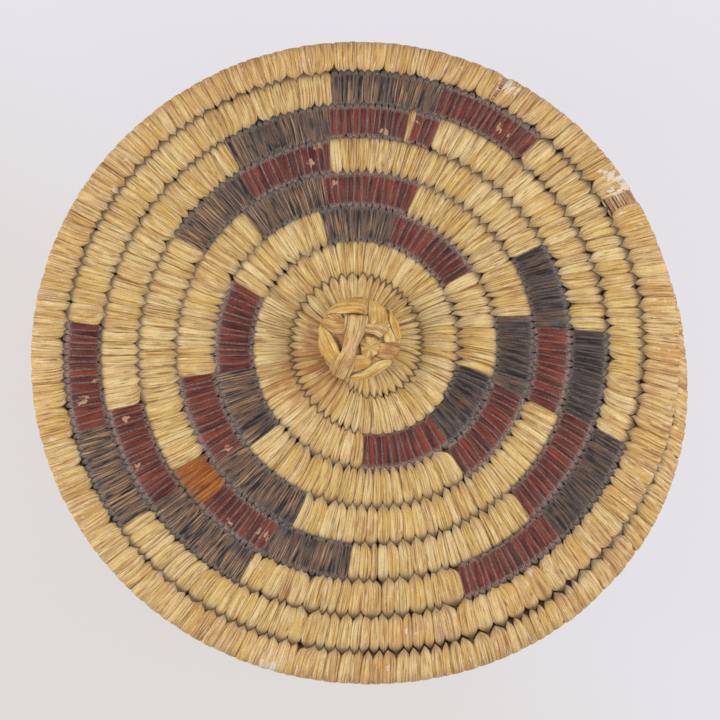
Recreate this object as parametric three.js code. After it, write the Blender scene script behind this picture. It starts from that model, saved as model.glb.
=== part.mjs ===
import * as THREE from 'three';

// A coiled basket with a cap lid, in millimetres and degrees, +Z up, standing on z = 0.
// Every coil is a bundle of grass wound round and round and sewn to the round before it.
// A place on a coil is its phase: 360 degrees for each turn, counter-clockwise from above.
// At a phase the bundle has a centre (radius and height), a tilt, which is the direction from
// the round before it, and half its width (along the tilt) and thickness (across it).

const coilThickness = 8.4; // through the wall
const coilPitch = 10.8; // from round to round up the wall and down the skirt
const roundGap = 0.5; // between neighbouring rounds
const seatGap = 0.35; // between pieces that touch
const leafThickness = 0.75; // dyed leaf sewn over the bundle
const flatShare = 0.55; // share of the bundle's width that is flat on top and below
const stepsPerTurn = 24;
const climbSpan = 120; // degrees in which a coil climbs from one round to the next
const taperShare = 0.7; // share of the climb that a coil's thinned end covers

// The line between two rounds of the lid, as its radius about the lid's hub. It grows with
// every turn, a little less each time, and hand work leaves it off centre and slightly oval.
const lidHub = { x: -0.15, y: 5.2 };
const lidFirstRadius = 17.05;
const lidGrowth = 11.71;
const lidSlowing = 0.0755;
const lidShiftX = { start: 2.2, perTurn: -0.149 };
const lidShiftY = { start: 1.1, perTurn: -0.452 };
const lidOval = { start: -0.65, perTurn: 0.304 };
const lidOvalTurned = { start: -0.84, perTurn: 0.129 };
const lidDome = 6; // how far the middle stands above the rim
const lidEndPhase = 2790; // where the flat spiral ends and the coil turns down into the skirt
const skirtTilts = [-90, -90]; // one for each round of the skirt
const lidClearance = 1; // from the skirt to the basket's neck, at the tightest place

const wallTilts = [28, 60, 78, 86, 90, 92, 94, 96]; // one for each round of the wall
const basketStartAngle = 270; // the side on which the basket's coil climbs
const neckRounds = 3;
const neckDrop = 1.5; // of the neck's first round below the wall's last

const lidHubRadius = 3; // of the open middle that the lid's coil starts round
const baseHubRadius = 6.5; // of the knot that the base's coil starts round
const startWidth = 4; // of the thinned bundle where a coil starts

const knobDiameter = 24.6;
const knobTop = 8.6; // from the knob's widest level to the crown of its core
const knobBelly = 5.6; // depth of the rounding below the widest level
const knobNeck = 5.6; // radius of the neck under the knob
const knobLift = 2.6; // of the knob's underside above the coil
const knobLean = 2.6; // of the crown off the hub, towards +Y
const stripWidth = 5.2;
const stripPitch = 6.9; // from strip to strip where they cross on the crown
const stripThickness = 0.7;
const stripRise = 0.75; // of an upper strip above the mean level of the weave
const stripSpacing = 1; // between the strips' ends round the knob's side
const stripTuck = 134; // degrees from the crown's top to where a strip is tucked in below

// The whirl on the lid: for each arm, the phases at which its red stitches start, its black
// ones start and its black ones end, row by row from the middle out.
const lidBlocks = [
  [[632, 674.5, 708.5], [755, 793.5, 826.5], [872.5, 911, 943]],
  [[1030, 1064, 1091.5], [1150, 1182, 1211], [1270, 1299.5, 1330]],
  [[1422, 1445.5, 1469.5], [1538.5, 1565, 1589], [1665, 1685, 1707.5]],
  [[1756, 1782, 1804], [1870.5, 1897.5, 1923.5], [1994.5, 2017.5, 2043]],
  [[2093.5, 2117, 2140.5], [2209.5, 2232, 2256], [2335, 2357, 2377.5]],
];
const orangeStart = 1654; // a short run of orange leaf before the third row's last red

// The wall carries the same arms in two rows: the phase of the first red in each row, counted
// from the foot of the wall, and the length of a block.
const wallBlockStarts = [1455, 1842];
const wallBlockLength = 27;
const armCount = 3;

const naturalLeaf = { color: 0xd2ae68, roughness: 0.62, metalness: 0 };
const bareGrass = { color: 0xc19a55, roughness: 0.75, metalness: 0 };
const redLeaf = { color: 0x6e2a22, roughness: 0.45, metalness: 0 };
const blackLeaf = { color: 0x3a3232, roughness: 0.5, metalness: 0 };
const orangeLeaf = { color: 0xb5601f, roughness: 0.5, metalness: 0 };

const radians = THREE.MathUtils.degToRad;
const lerp = THREE.MathUtils.lerp;
const ease = (share) => THREE.MathUtils.smoothstep(share, 0, 1);
const gridStep = 360 / stepsPerTurn;
const halfThickness = coilThickness / 2;
const halfWidth = (coilPitch - roundGap) / 2;

function arcDegrees(length, radius) {
  return THREE.MathUtils.radToDeg(length / radius);
}

function lidLine(phase) {
  const turns = phase / 360;
  const angle = radians(phase);
  const along = (term) => term.start + term.perTurn * turns;
  return lidFirstRadius + lidGrowth * turns - lidSlowing * turns * turns
    + along(lidShiftX) * Math.cos(angle) + along(lidShiftY) * Math.sin(angle)
    + along(lidOval) * Math.cos(2 * angle) + along(lidOvalTurned) * Math.sin(2 * angle);
}

// A flat spiral between its lines. Its first part is thinned to start close round the hub.
function flatCoil({ x, y, startAngle, hubRadius, line, heightAt }) {
  const at = (phase) => {
    const outer = line(phase);
    const inner = Math.max(line(phase - 360), hubRadius);
    const radius = (outer + inner) / 2;
    const fullWidth = outer - line(phase - 360);
    return {
      radius,
      height: heightAt(radius),
      tilt: 0,
      halfWidth: (outer - inner - roundGap) / 2,
      halfThickness: halfThickness * Math.sqrt((outer - inner) / fullWidth),
    };
  };
  let start = -360;
  while (line(start) < hubRadius + startWidth) {
    start += gridStep;
  }
  return { x, y, startAngle, at, start };
}

function reachAcross(bundle, turnAngle) {
  const along = Math.abs(Math.cos(turnAngle)) * bundle.halfWidth;
  const across = Math.abs(Math.sin(turnAngle)) * bundle.halfThickness;
  return Math.max(along, flatShare * along + across);
}

// A coil that goes on from a flat one, each round standing on the round before it. The tilt
// changes only in the climb, so the rounds lie level elsewhere, and so does the last rim,
// because the coil's end is thinned as the round under it climbs.
function stackedCoil(flat, fromPhase, tilts) {
  const at = (phase) => {
    if (phase <= fromPhase) {
      return flat.at(phase);
    }
    const round = Math.floor((phase - fromPhase) / 360);
    const climbed = ease((phase - fromPhase - round * 360) / climbSpan);
    const tiltOf = (index) => (index < 0 ? 0 : tilts[Math.min(index, tilts.length - 1)]);
    const tilt = lerp(tiltOf(round - 1), tiltOf(round), climbed);
    const thinned = round < tilts.length ? 1 : 1 - climbed;
    const under = at(phase - 360);
    const ownWidth = round > 0 ? halfWidth : lerp(flat.at(phase).halfWidth, halfWidth, climbed);
    const own = {
      tilt,
      halfWidth: ownWidth * thinned,
      halfThickness: halfThickness * Math.sqrt(thinned),
    };
    const reach = reachAcross(under, radians(tilt - under.tilt)) + own.halfWidth + roundGap;
    const turned = Math.abs(Math.sin(radians(tilt))) - Math.abs(Math.sin(radians(under.tilt)));
    const flush = (halfWidth - halfThickness) * turned;
    own.radius = under.radius + reach * Math.cos(radians(tilt)) + flush;
    own.height = under.height + reach * Math.sin(radians(tilt));
    return own;
  };
  return { x: flat.x, y: flat.y, startAngle: flat.startAngle, at };
}

// The six corners of a bundle's section where the steps of all coils share one plane.
function planeRing(coil, phase, inset) {
  const bundle = coil.at(phase);
  const angle = radians(phase + coil.startAngle);
  const tilt = radians(bundle.tilt);
  const corners = [[1, 0], [flatShare, 1], [-flatShare, 1], [-1, 0], [-flatShare, -1], [flatShare, -1]];
  return corners.map(([wide, thick]) => {
    const width = wide * (bundle.halfWidth - inset);
    const depth = thick * (bundle.halfThickness - inset);
    const radius = bundle.radius + width * Math.cos(tilt) - depth * Math.sin(tilt);
    const height = bundle.height + width * Math.sin(tilt) + depth * Math.cos(tilt);
    return new THREE.Vector3(coil.x + radius * Math.cos(angle), coil.y + radius * Math.sin(angle), height);
  });
}

// Between two shared planes a section lies on the straight run from one to the other.
function ringAt(coil, phase, inset = 0) {
  const before = Math.floor(phase / gridStep) * gridStep;
  const share = (phase - before) / gridStep;
  const ring = planeRing(coil, before, inset);
  if (share < 1e-6) {
    return ring;
  }
  const next = planeRing(coil, before + gridStep, inset);
  return ring.map((point, index) => point.lerp(next[index], share));
}

function phasesBetween(from, to) {
  const phases = [from];
  for (let step = Math.floor(from / gridStep) + 1; step * gridStep < to - 1e-6; step += 1) {
    phases.push(step * gridStep);
  }
  phases.push(to);
  return phases;
}

function levelsOf(coil, from, to) {
  return phasesBetween(from, to).flatMap((phase) => ringAt(coil, phase).map((point) => point.z));
}

function solidFromRings(rings, closed) {
  const sides = rings[0].length;
  const positions = rings.flat().flatMap((point) => point.toArray());
  const index = [];
  const joinCount = closed ? rings.length : rings.length - 1;
  for (let ring = 0; ring < joinCount; ring += 1) {
    const next = (ring + 1) % rings.length;
    for (let side = 0; side < sides; side += 1) {
      const across = (side + 1) % sides;
      const corners = [ring * sides + side, ring * sides + across, next * sides + across, next * sides + side];
      index.push(corners[0], corners[1], corners[2], corners[0], corners[2], corners[3]);
    }
  }
  if (!closed) {
    const last = (rings.length - 1) * sides;
    for (let side = 1; side < sides - 1; side += 1) {
      index.push(0, side + 1, side);
      index.push(last, last + side, last + side + 1);
    }
  }
  if (signedVolume(positions, index) < 0) {
    index.reverse();
  }
  const geometry = new THREE.BufferGeometry();
  geometry.setAttribute('position', new THREE.Float32BufferAttribute(positions, 3));
  geometry.setIndex(index);
  geometry.computeVertexNormals();
  return geometry;
}

function signedVolume(positions, index) {
  const corner = (i) => new THREE.Vector3().fromArray(positions, index[i] * 3);
  let volume = 0;
  for (let i = 0; i < index.length; i += 3) {
    volume += corner(i).dot(corner(i + 1).cross(corner(i + 2))) / 6;
  }
  return volume;
}

function piece(name, geometry, finish) {
  const mesh = new THREE.Mesh(geometry, new THREE.MeshStandardMaterial(finish));
  mesh.name = name;
  return mesh;
}

// One unbroken bundle, thinned by the leaf's thickness where dyed leaf is sewn over it.
function coilRings(coil, from, to, wraps) {
  const rings = [];
  let phase = from;
  for (const [wrapStart, wrapEnd] of wraps) {
    phasesBetween(phase, wrapStart).forEach((p) => rings.push(ringAt(coil, p)));
    phasesBetween(wrapStart, wrapEnd).forEach((p) => rings.push(ringAt(coil, p, leafThickness + seatGap)));
    phase = wrapEnd;
  }
  phasesBetween(phase, to).forEach((p) => rings.push(ringAt(coil, p)));
  return rings;
}

// A run of leaf stitches round the bundle: an open sleeve that fills the thinned place.
function stitchSleeve(coil, from, to) {
  const endGap = arcDegrees(seatGap, coil.at(from).radius) / 2;
  const phases = phasesBetween(from + endGap, to - endGap);
  const outside = phases.map((phase) => ringAt(coil, phase));
  const inside = phases.map((phase) => ringAt(coil, phase, leafThickness)).reverse();
  return solidFromRings([...outside, ...inside], true);
}

// The least distance from one round of a coil to the next, on the corners and edge middles.
function leastGap(rings) {
  const points = rings.map((ring) => ring.flatMap((point, index) => {
    const next = ring[(index + 1) % ring.length];
    return [point, point.clone().lerp(next, 0.5)];
  }));
  const apart = Math.ceil(stepsPerTurn / 2);
  const farOff = 4 * coilPitch;
  let least = Infinity;
  points.forEach((ring, first) => {
    for (let second = first + apart; second < points.length; second += 1) {
      if (ring[0].distanceTo(points[second][0]) > farOff) {
        continue;
      }
      for (const point of ring) {
        for (const other of points[second]) {
          least = Math.min(least, point.distanceTo(other));
        }
      }
    }
  });
  return least;
}

function woundPiece(name, coil, from, to, wraps, finish) {
  const rings = coilRings(coil, from, to, wraps);
  console.log(`${name}: least gap to itself ${leastGap(rings).toFixed(2)} mm`);
  return piece(name, solidFromRings(rings, false), finish);
}

// The lid, about its own rim level: the flat spiral, the skirt and the dyed stitches.
const lidRimRadius = lidLine(lidEndPhase);
const lidFlat = flatCoil({
  ...lidHub,
  startAngle: 0,
  hubRadius: lidHubRadius,
  line: lidLine,
  heightAt: (radius) => lidDome * (1 - (radius / lidRimRadius) ** 2),
});
const lidSkirt = stackedCoil(lidFlat, lidEndPhase, skirtTilts);
const skirtStart = lidEndPhase + arcDegrees(seatGap, lidRimRadius);
const skirtEnd = lidEndPhase + 360 * skirtTilts.length + climbSpan * taperShare;

function lidPieces() {
  const lid = new THREE.Group();
  const wraps = lidBlocks.flat().map(([red, black, end]) => [red, end]);
  const besideOrange = wraps.find(([start]) => start > orangeStart);
  besideOrange[0] = orangeStart;
  lid.add(woundPiece('lid_coil', lidFlat, lidFlat.start, lidEndPhase, wraps, naturalLeaf));
  lid.add(woundPiece('lid_skirt_coil', lidSkirt, skirtStart, skirtEnd, [], naturalLeaf));
  lidBlocks.forEach((row, rowIndex) => {
    row.forEach(([red, black, end], armIndex) => {
      const place = `${rowIndex + 1}${'abc'[armIndex]}`;
      lid.add(piece(`lid_red_stitches_${place}`, stitchSleeve(lidFlat, red, black), redLeaf));
      lid.add(piece(`lid_black_stitches_${place}`, stitchSleeve(lidFlat, black, end), blackLeaf));
      if (red > orangeStart && red - orangeStart < gridStep) {
        lid.add(piece('lid_orange_stitches', stitchSleeve(lidFlat, orangeStart, red), orangeLeaf));
      }
    });
  });
  return lid;
}

// The knob: a core on a stem that is drawn down through the hub, and leaf strips plaited
// over its crown, three each way, whose ends run down the sides and are tucked in below.
// Distances over the crown are taken from its top, and go on as an angle down the sides.
// It leans to one side, from the foot of its stem up to its widest level.
const knobRadius = knobDiameter / 2 - stripRise - stripThickness / 2;
const coreDrop = stripRise + stripThickness / 2 + 2 * seatGap;
const knobLevel = lidDome + halfThickness + knobLift + knobBelly;
const stemFoot = lidDome + halfThickness + seatGap;
const plaitEdge = 1.5 * stripPitch;
const stripEnds = 12;

function leanOver(geometry) {
  const place = geometry.attributes.position;
  for (let point = 0; point < place.count; point += 1) {
    const share = (place.getZ(point) - stemFoot) / (knobLevel - stemFoot);
    place.setY(point, place.getY(point) + knobLean * THREE.MathUtils.clamp(share, 0, 1));
  }
  geometry.computeVertexNormals();
  return geometry;
}

function knobCore() {
  const coreRadius = knobRadius - coreDrop;
  const stemRadius = lidHubRadius - roundGap;
  const tuckAngle = THREE.MathUtils.radToDeg(Math.acos(knobNeck / coreRadius));
  const profile = [
    new THREE.Vector2(0, lidDome - halfThickness),
    new THREE.Vector2(stemRadius, lidDome - halfThickness),
    new THREE.Vector2(stemRadius, stemFoot),
    new THREE.Vector2(knobNeck, stemFoot),
  ];
  const arcSteps = 9;
  for (let step = 0; step <= arcSteps; step += 1) {
    const angle = lerp(-tuckAngle, 90, step / arcSteps);
    const rise = (angle < 0 ? knobBelly : knobTop) - coreDrop;
    const radius = step === arcSteps ? 0 : coreRadius * Math.cos(radians(angle));
    profile.push(new THREE.Vector2(radius, knobLevel + rise * Math.sin(radians(angle))));
  }
  const geometry = new THREE.LatheGeometry(profile, stepsPerTurn);
  geometry.rotateX(Math.PI / 2);
  return geometry;
}

function crownPoint(fromTop, azimuth, lift) {
  const rise = (fromTop > Math.PI / 2 ? knobBelly : knobTop) + lift;
  const radius = (knobRadius + lift) * Math.sin(fromTop);
  const height = knobLevel + rise * Math.cos(fromTop);
  return new THREE.Vector3(radius * Math.cos(azimuth), radius * Math.sin(azimuth), height);
}

// Where a strip crosses the crown its edges are straight and side by side with the next.
function crossingRing(along, offset, lift) {
  const half = stripWidth / 2;
  return [[-half, -1], [half, -1], [half, 1], [-half, 1]].map(([side, face]) => {
    const across = offset + side;
    const fromTop = Math.hypot(along, across) / knobRadius;
    return crownPoint(fromTop, Math.atan2(across, along), lift + (face * stripThickness) / 2);
  });
}

// Down the side a strip's end is one of twelve spaced evenly round the knob.
function sideRing(fromTop, azimuth) {
  const around = (2 * Math.PI * knobRadius * Math.sin(fromTop)) / stripEnds;
  const half = Math.min(stripWidth, around - stripSpacing) / 2 / (knobRadius * Math.sin(fromTop));
  return [[-half, -1], [half, -1], [half, 1], [-half, 1]].map(([side, face]) => {
    return crownPoint(fromTop, azimuth + side, (face * stripThickness) / 2);
  });
}

function plaitedStrip(order, crossesOver) {
  const offset = order * stripPitch;
  const sideAngles = [90, (90 + stripTuck) / 2, stripTuck].map(radians);
  const turn = radians(360 / stripEnds) * order;
  const reach = stripWidth / 2 + stripSpacing / 4;
  const rings = sideAngles.map((fromTop) => sideRing(fromTop, turn));
  rings.unshift(crossingRing(plaitEdge, offset, 0));
  const crown = [1, 0, -1].flatMap((crossing) => {
    const lift = (crossing + order) % 2 === 0 ? stripRise : -stripRise;
    return [reach, 0, -reach].map((part) => {
      return crossingRing(crossing * stripPitch + part, offset, crossesOver ? lift : -lift);
    });
  });
  const farSide = sideAngles.map((fromTop) => sideRing(fromTop, Math.PI - turn).map((_, corner, ring) => {
    return ring[[1, 0, 3, 2][corner]];
  }));
  return solidFromRings([...rings.reverse(), ...crown, crossingRing(-plaitEdge, offset, 0), ...farSide], false);
}

function lidKnob() {
  const knob = new THREE.Group();
  knob.position.set(lidHub.x, lidHub.y, 0);
  knob.add(piece('knob_core', leanOver(knobCore()), bareGrass));
  [-1, 0, 1].forEach((order, index) => {
    const across = leanOver(plaitedStrip(order, true));
    const along = leanOver(plaitedStrip(order, false).rotateZ(Math.PI / 2));
    knob.add(piece(`knob_strip_across_${index + 1}`, across, naturalLeaf));
    knob.add(piece(`knob_strip_along_${index + 1}`, along, naturalLeaf));
  });
  return knob;
}

// The basket: its neck fits in the skirt, its wall is sewn round the neck's foot, and the
// spiral of its base is as wide as the wall's foot needs.
function skirtInside() {
  const rings = phasesBetween(lidEndPhase + climbSpan, skirtEnd).map((phase) => ringAt(lidSkirt, phase));
  let least = Infinity;
  rings.slice(1).forEach((ring, index) => {
    ring.forEach((point, corner) => {
      const middle = point.clone().lerp(rings[index][corner], 0.5);
      least = Math.min(least, Math.hypot(middle.x, middle.y));
    });
  });
  return least;
}

const neckRadius = skirtInside() - lidClearance - halfThickness;
const wallRadius = neckRadius + coilThickness + roundGap;

function basketFlat(outerLine, turns) {
  const growth = (phase) => {
    const round = Math.floor(phase / 360);
    const share = phase / 360 - round;
    const late = THREE.MathUtils.clamp((round + 1) / turns, 0, 1);
    return round + lerp(share, ease((share * 360) / climbSpan), late);
  };
  return flatCoil({
    x: 0,
    y: 0,
    startAngle: basketStartAngle,
    hubRadius: baseHubRadius,
    line: (phase) => outerLine + coilPitch * (growth(phase) - turns),
    heightAt: () => halfThickness,
  });
}

function basketWall(outerLine, turns) {
  const wall = stackedCoil(basketFlat(outerLine, turns), 360 * turns, wallTilts);
  wall.lastPhase = 360 * (turns + wallTilts.length);
  return wall;
}

const trialWall = basketWall(wallRadius, 1);
const wallSpread = trialWall.at(trialWall.lastPhase).radius - wallRadius;
const baseOuterLine = wallRadius - wallSpread;
const baseTurns = Math.floor((baseOuterLine - baseHubRadius) / coilPitch);
const base = basketFlat(baseOuterLine, baseTurns);
const wall = basketWall(baseOuterLine, baseTurns);
const wallStartPhase = 360 * baseTurns;
const wallEndPhase = wall.lastPhase + climbSpan * taperShare;
const wallTop = Math.max(...levelsOf(wall, wallStartPhase, wallEndPhase));

// The neck's rounds stand upright over each other. Its first and last are thinned where the
// coil climbs, so that its foot and its rim lie level.
function neckCoil() {
  const firstHeight = wallTop - halfWidth - neckDrop;
  const at = (phase) => {
    const round = Math.floor(phase / 360);
    const climbed = ease((phase - round * 360) / climbSpan);
    const climb = firstHeight + coilPitch * (round - 1 + climbed);
    const thinned = { radius: neckRadius, tilt: 90 };
    let share = 1;
    let height = climb;
    if (round === 0) {
      share = (coilPitch * climbed - roundGap) / (coilPitch - roundGap);
      height = firstHeight - halfWidth * (1 - share);
    } else if (round === neckRounds) {
      share = 1 - climbed;
      height = climb + halfWidth * (share - 1);
    }
    return { ...thinned, height, halfWidth: halfWidth * share, halfThickness: halfThickness * Math.sqrt(share) };
  };
  return { x: 0, y: 0, startAngle: basketStartAngle, at };
}

function startKnot() {
  const radius = baseHubRadius - roundGap;
  const knot = new THREE.CylinderGeometry(radius, radius, coilThickness, stepsPerTurn);
  knot.rotateX(Math.PI / 2);
  knot.translate(0, 0, halfThickness);
  return knot;
}

function basketPieces() {
  const basket = new THREE.Group();
  basket.add(piece('base_start_knot', startKnot(), naturalLeaf));
  const wallStart = wallStartPhase + arcDegrees(seatGap, baseOuterLine);
  const blocks = wallBlockStarts.flatMap((start, rowIndex) => {
    return Array.from({ length: armCount }, (_, armIndex) => ({
      place: `${rowIndex + 1}${'abc'[armIndex]}`,
      red: wallStartPhase + start + (360 / armCount) * armIndex,
    }));
  });
  const wraps = blocks.map(({ red }) => [red, red + 2 * wallBlockLength]);
  basket.add(woundPiece('base_coil', base, base.start, wallStartPhase, [], naturalLeaf));
  basket.add(woundPiece('wall_coil', wall, wallStart, wallEndPhase, wraps, naturalLeaf));
  const neckStart = climbSpan * (1 - taperShare);
  const neckEnd = 360 * neckRounds + climbSpan * taperShare;
  basket.add(woundPiece('neck_coil', neckCoil(), neckStart, neckEnd, [], naturalLeaf));
  blocks.forEach(({ place, red }) => {
    const black = red + wallBlockLength;
    basket.add(piece(`wall_red_stitches_${place}`, stitchSleeve(wall, red, black), redLeaf));
    const dark = stitchSleeve(wall, black, black + wallBlockLength);
    basket.add(piece(`wall_black_stitches_${place}`, dark, blackLeaf));
  });
  return basket;
}

// The levels at which a section is cut by the upright line at a radius.
function levelsAtRadius(ring, radius) {
  return ring.flatMap((point, corner) => {
    const next = ring[(corner + 1) % ring.length];
    const from = Math.hypot(point.x, point.y);
    const to = Math.hypot(next.x, next.y);
    return (from - radius) * (to - radius) < 0 ? [lerp(point.z, next.z, (radius - from) / (to - from))] : [];
  });
}

function wallTopUnder(place) {
  const angle = THREE.MathUtils.radToDeg(Math.atan2(place.y, place.x)) - basketStartAngle;
  const last = angle + 360 * Math.floor((wallEndPhase - angle) / 360);
  const rings = [last, last - 360].map((phase) => ringAt(wall, phase));
  return Math.max(...rings.flatMap((ring) => levelsAtRadius(ring, Math.hypot(place.x, place.y))));
}

// The lid's skirt stands on the wall's last round, at the place where they meet first.
function lidSeat() {
  const clearances = [];
  for (let phase = skirtStart; phase < skirtEnd; phase += gridStep / 4) {
    const ring = ringAt(lidSkirt, phase);
    ring.forEach((point, corner) => {
      const middle = point.clone().lerp(ring[(corner + 1) % ring.length], 0.5);
      [point, middle].forEach((place) => clearances.push(wallTopUnder(place) - place.z));
    });
  }
  return Math.max(...clearances) + seatGap;
}

const group = new THREE.Group();
const lid = lidPieces();
lid.add(lidKnob());
lid.position.z = lidSeat();
group.add(basketPieces(), lid);

export default group;
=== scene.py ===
import math
import bpy
import numpy as np
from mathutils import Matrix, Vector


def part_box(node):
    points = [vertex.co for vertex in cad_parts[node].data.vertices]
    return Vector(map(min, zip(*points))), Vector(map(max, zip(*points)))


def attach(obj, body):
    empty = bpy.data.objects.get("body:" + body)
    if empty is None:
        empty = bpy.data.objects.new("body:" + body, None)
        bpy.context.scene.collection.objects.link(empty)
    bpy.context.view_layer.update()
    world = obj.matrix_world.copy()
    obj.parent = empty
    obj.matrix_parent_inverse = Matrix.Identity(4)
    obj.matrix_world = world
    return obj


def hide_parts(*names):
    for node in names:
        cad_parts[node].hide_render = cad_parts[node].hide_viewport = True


# A coiled basket with a cap lid: bundles of grass sewn round and round with strips of palm leaf,
# some of them dyed. Lengths are in millimetres until a mesh is made. A place on a coil is its
# phase: 360 degrees for each turn, counter-clockwise from above.

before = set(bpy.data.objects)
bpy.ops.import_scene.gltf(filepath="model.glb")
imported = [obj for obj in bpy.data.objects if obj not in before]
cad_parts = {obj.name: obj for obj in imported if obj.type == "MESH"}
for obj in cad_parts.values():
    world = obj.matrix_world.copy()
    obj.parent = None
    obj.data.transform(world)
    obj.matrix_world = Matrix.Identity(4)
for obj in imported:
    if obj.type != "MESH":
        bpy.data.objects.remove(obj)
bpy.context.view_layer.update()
scene = bpy.context.scene
mm = 0.001
rng = np.random.default_rng(11)
print("frame loaded:", len(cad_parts), "nodes")


def cadSpan(node):
    low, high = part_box(node)
    return np.array(low) / mm, np.array(high) / mm


# Camera, floor and light

shot = {
    "pixelsPerMm": 3.25,  # at the lid's rim
    "axisPixel": (359.5, 364),  # where the basket's axis shows in the picture
    "pictureSide": 720,
    "distance": 1400,  # from the rim up to the lens
    "sensor": 36,
}
studio = {
    "floorLitCool": "#EAE8EE",  # the floor's lighter tone towards the picture's upper right; it grades into the warmer, darker one below as a painted fall-off of the light
    "floorShadedWarm": "#E4E0DE",
    "coolFrom": 10,  # x and y together
    "warmTo": -110,
    "floorGlow": 0.8,  # share of the floor's tone that no shadow reaches
    "floorSize": 8000,
    "world": "#F2F1F2",
    "worldStrength": 0.6,
    "lampPower": 1.9,
    "lampDistance": 560,
    "lampHeight": 470,
    "lampSide": 420,
}


def linearColor(hexText):
    parts = [int(hexText[i:i + 2], 16) / 255 for i in (1, 3, 5)]
    return tuple(c / 12.92 if c <= 0.04045 else ((c + 0.055) / 1.055) ** 2.4 for c in parts) + (1,)


def addNode(tree, kind, inputs=(), **settings):
    # The inputs go by name, or are the first ones in their order. A node among them is linked
    # from its first output in use.
    node = tree.nodes.new("ShaderNode" + kind)
    for key, value in settings.items():
        setattr(node, key, value)
    for key, value in inputs.items() if isinstance(inputs, dict) else enumerate(inputs):
        if isinstance(value, bpy.types.Node):
            value = next(socket for socket in value.outputs if socket.enabled)
        if isinstance(value, bpy.types.NodeSocket):
            tree.links.new(value, node.inputs[key])
        else:
            node.inputs[key].default_value = value
    return node


def newMaterial(name):
    material = bpy.data.materials.new(name)
    material.use_nodes = True
    material.node_tree.nodes.clear()
    return material


def setCamera():
    camera = bpy.data.objects.new("camera", bpy.data.cameras.new("camera"))
    scene.collection.objects.link(camera)
    scene.camera = camera
    middle = shot["pictureSide"] / 2
    acrossX = (middle - shot["axisPixel"][0]) / shot["pixelsPerMm"]
    acrossY = (shot["axisPixel"][1] - middle) / shot["pixelsPerMm"]
    rimLevel = cadSpan("lid_coil")[0][2] + coilSizes["thickness"] / 2
    camera.location = (acrossX * mm, acrossY * mm, (rimLevel + shot["distance"]) * mm)
    camera.data.sensor_width = shot["sensor"]
    camera.data.lens = shot["sensor"] * shot["distance"] * shot["pixelsPerMm"] / shot["pictureSide"]
    camera.data.clip_end = 100


def floorMaterial():
    # Matt seamless paper: pale, with painted light that makes it a little warmer and darker towards the picture's
    # lower left.
    material = newMaterial("seamlessPaper")
    tree = material.node_tree
    towards = addNode(tree, "VectorMath", (addNode(tree, "NewGeometry"), (1, 1, 0)), operation="DOT_PRODUCT")
    share = addNode(tree, "MapRange", (towards, studio["warmTo"] * mm, studio["coolFrom"] * mm),
                    interpolation_type="SMOOTHSTEP")
    tone = addNode(tree, "Mix", {0: share, 6: linearColor(studio["floorShadedWarm"]), 7: linearColor(studio["floorLitCool"])},
                   data_type="RGBA")
    matt = addNode(tree, "BsdfDiffuse", {"Color": tone})
    glow = addNode(tree, "Emission", {"Color": tone})
    path = addNode(tree, "LightPath").outputs
    ray = addNode(tree, "Math", (path["Is Camera Ray"], path["Is Glossy Ray"]), operation="MAXIMUM")
    ray = addNode(tree, "Math", (ray, path["Is Transmission Ray"]), operation="MAXIMUM")
    amount = addNode(tree, "Math", (ray, studio["floorGlow"]), operation="MULTIPLY")
    addNode(tree, "OutputMaterial", (addNode(tree, "MixShader", (amount, matt, glow)),))
    return material


def setStage():
    side = studio["floorSize"] * mm / 2
    mesh = bpy.data.meshes.new("floor")
    mesh.from_pydata([(-side, -side, 0), (side, -side, 0), (side, side, 0), (-side, side, 0)], [], [(0, 1, 2, 3)])
    floor = bpy.data.objects.new("floor", mesh)
    mesh.materials.append(floorMaterial())
    scene.collection.objects.link(floor)
    world = bpy.data.worlds.new("studio")
    world.use_nodes = True
    background = world.node_tree.nodes["Background"]
    background.inputs["Color"].default_value = linearColor(studio["world"])
    background.inputs["Strength"].default_value = studio["worldStrength"]
    scene.world = world
    for name, sign in (("lampLeft", -1), ("lampRight", 1)):
        lamp = bpy.data.lights.new(name, "AREA")
        lamp.energy = studio["lampPower"]
        lamp.size = studio["lampSide"] * mm
        spot = bpy.data.objects.new(name, lamp)
        spot.location = (sign * studio["lampDistance"] * mm, 0, studio["lampHeight"] * mm)
        spot.rotation_euler = (-spot.location).to_track_quat("-Z", "Y").to_euler()
        spot.visible_camera = False  # a side view would have a lamp in front of the basket
        scene.collection.objects.link(spot)


# The coils, as in the solids

coilSizes = {
    "thickness": 8.4,
    "pitch": 10.8,  # from the middle of a round to the next one's
    "roundGap": 0.5,
    "flatShare": 0.55,  # how flat a bundle is pressed where one lies on another at a slant
    "climbSpan": 120,  # degrees over which a round climbs onto the one before, or an end thins out
    "taperShare": 0.7,  # share of those for which a thinning end goes on
    "startWidth": 4,  # of the thinned bundle where a coil starts
    "sewnWithin": 2,  # degrees between a coil's ends and its first and last stitch
    "gridStep": 1.25,  # degrees between the places at which a coil is worked out
}
lidShape = {
    "hub": (-0.15, 5.2),
    "hubRadius": 3,
    "hubBundle": (4.0, 3.0, 2.0),  # the grass that closes the crack where the coil starts
    "firstRadius": 17.05,
    "growth": 11.71,  # for each turn
    "slowing": 0.0755,  # of that, by the turns squared
    # How far the rounds lie to a side or are oval, at the start and more for each turn
    "shiftX": (2.2, -0.149),
    "shiftY": (1.1, -0.452),
    "oval": (-0.65, 0.304),
    "ovalTurned": (-0.84, 0.129),
    "dome": 6,  # height of the middle over the rim
    "endPhase": 2790,  # where the top ends and the skirt starts
    "skirtTilts": (-90, -90),  # of each round, in degrees from flat
}
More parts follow.
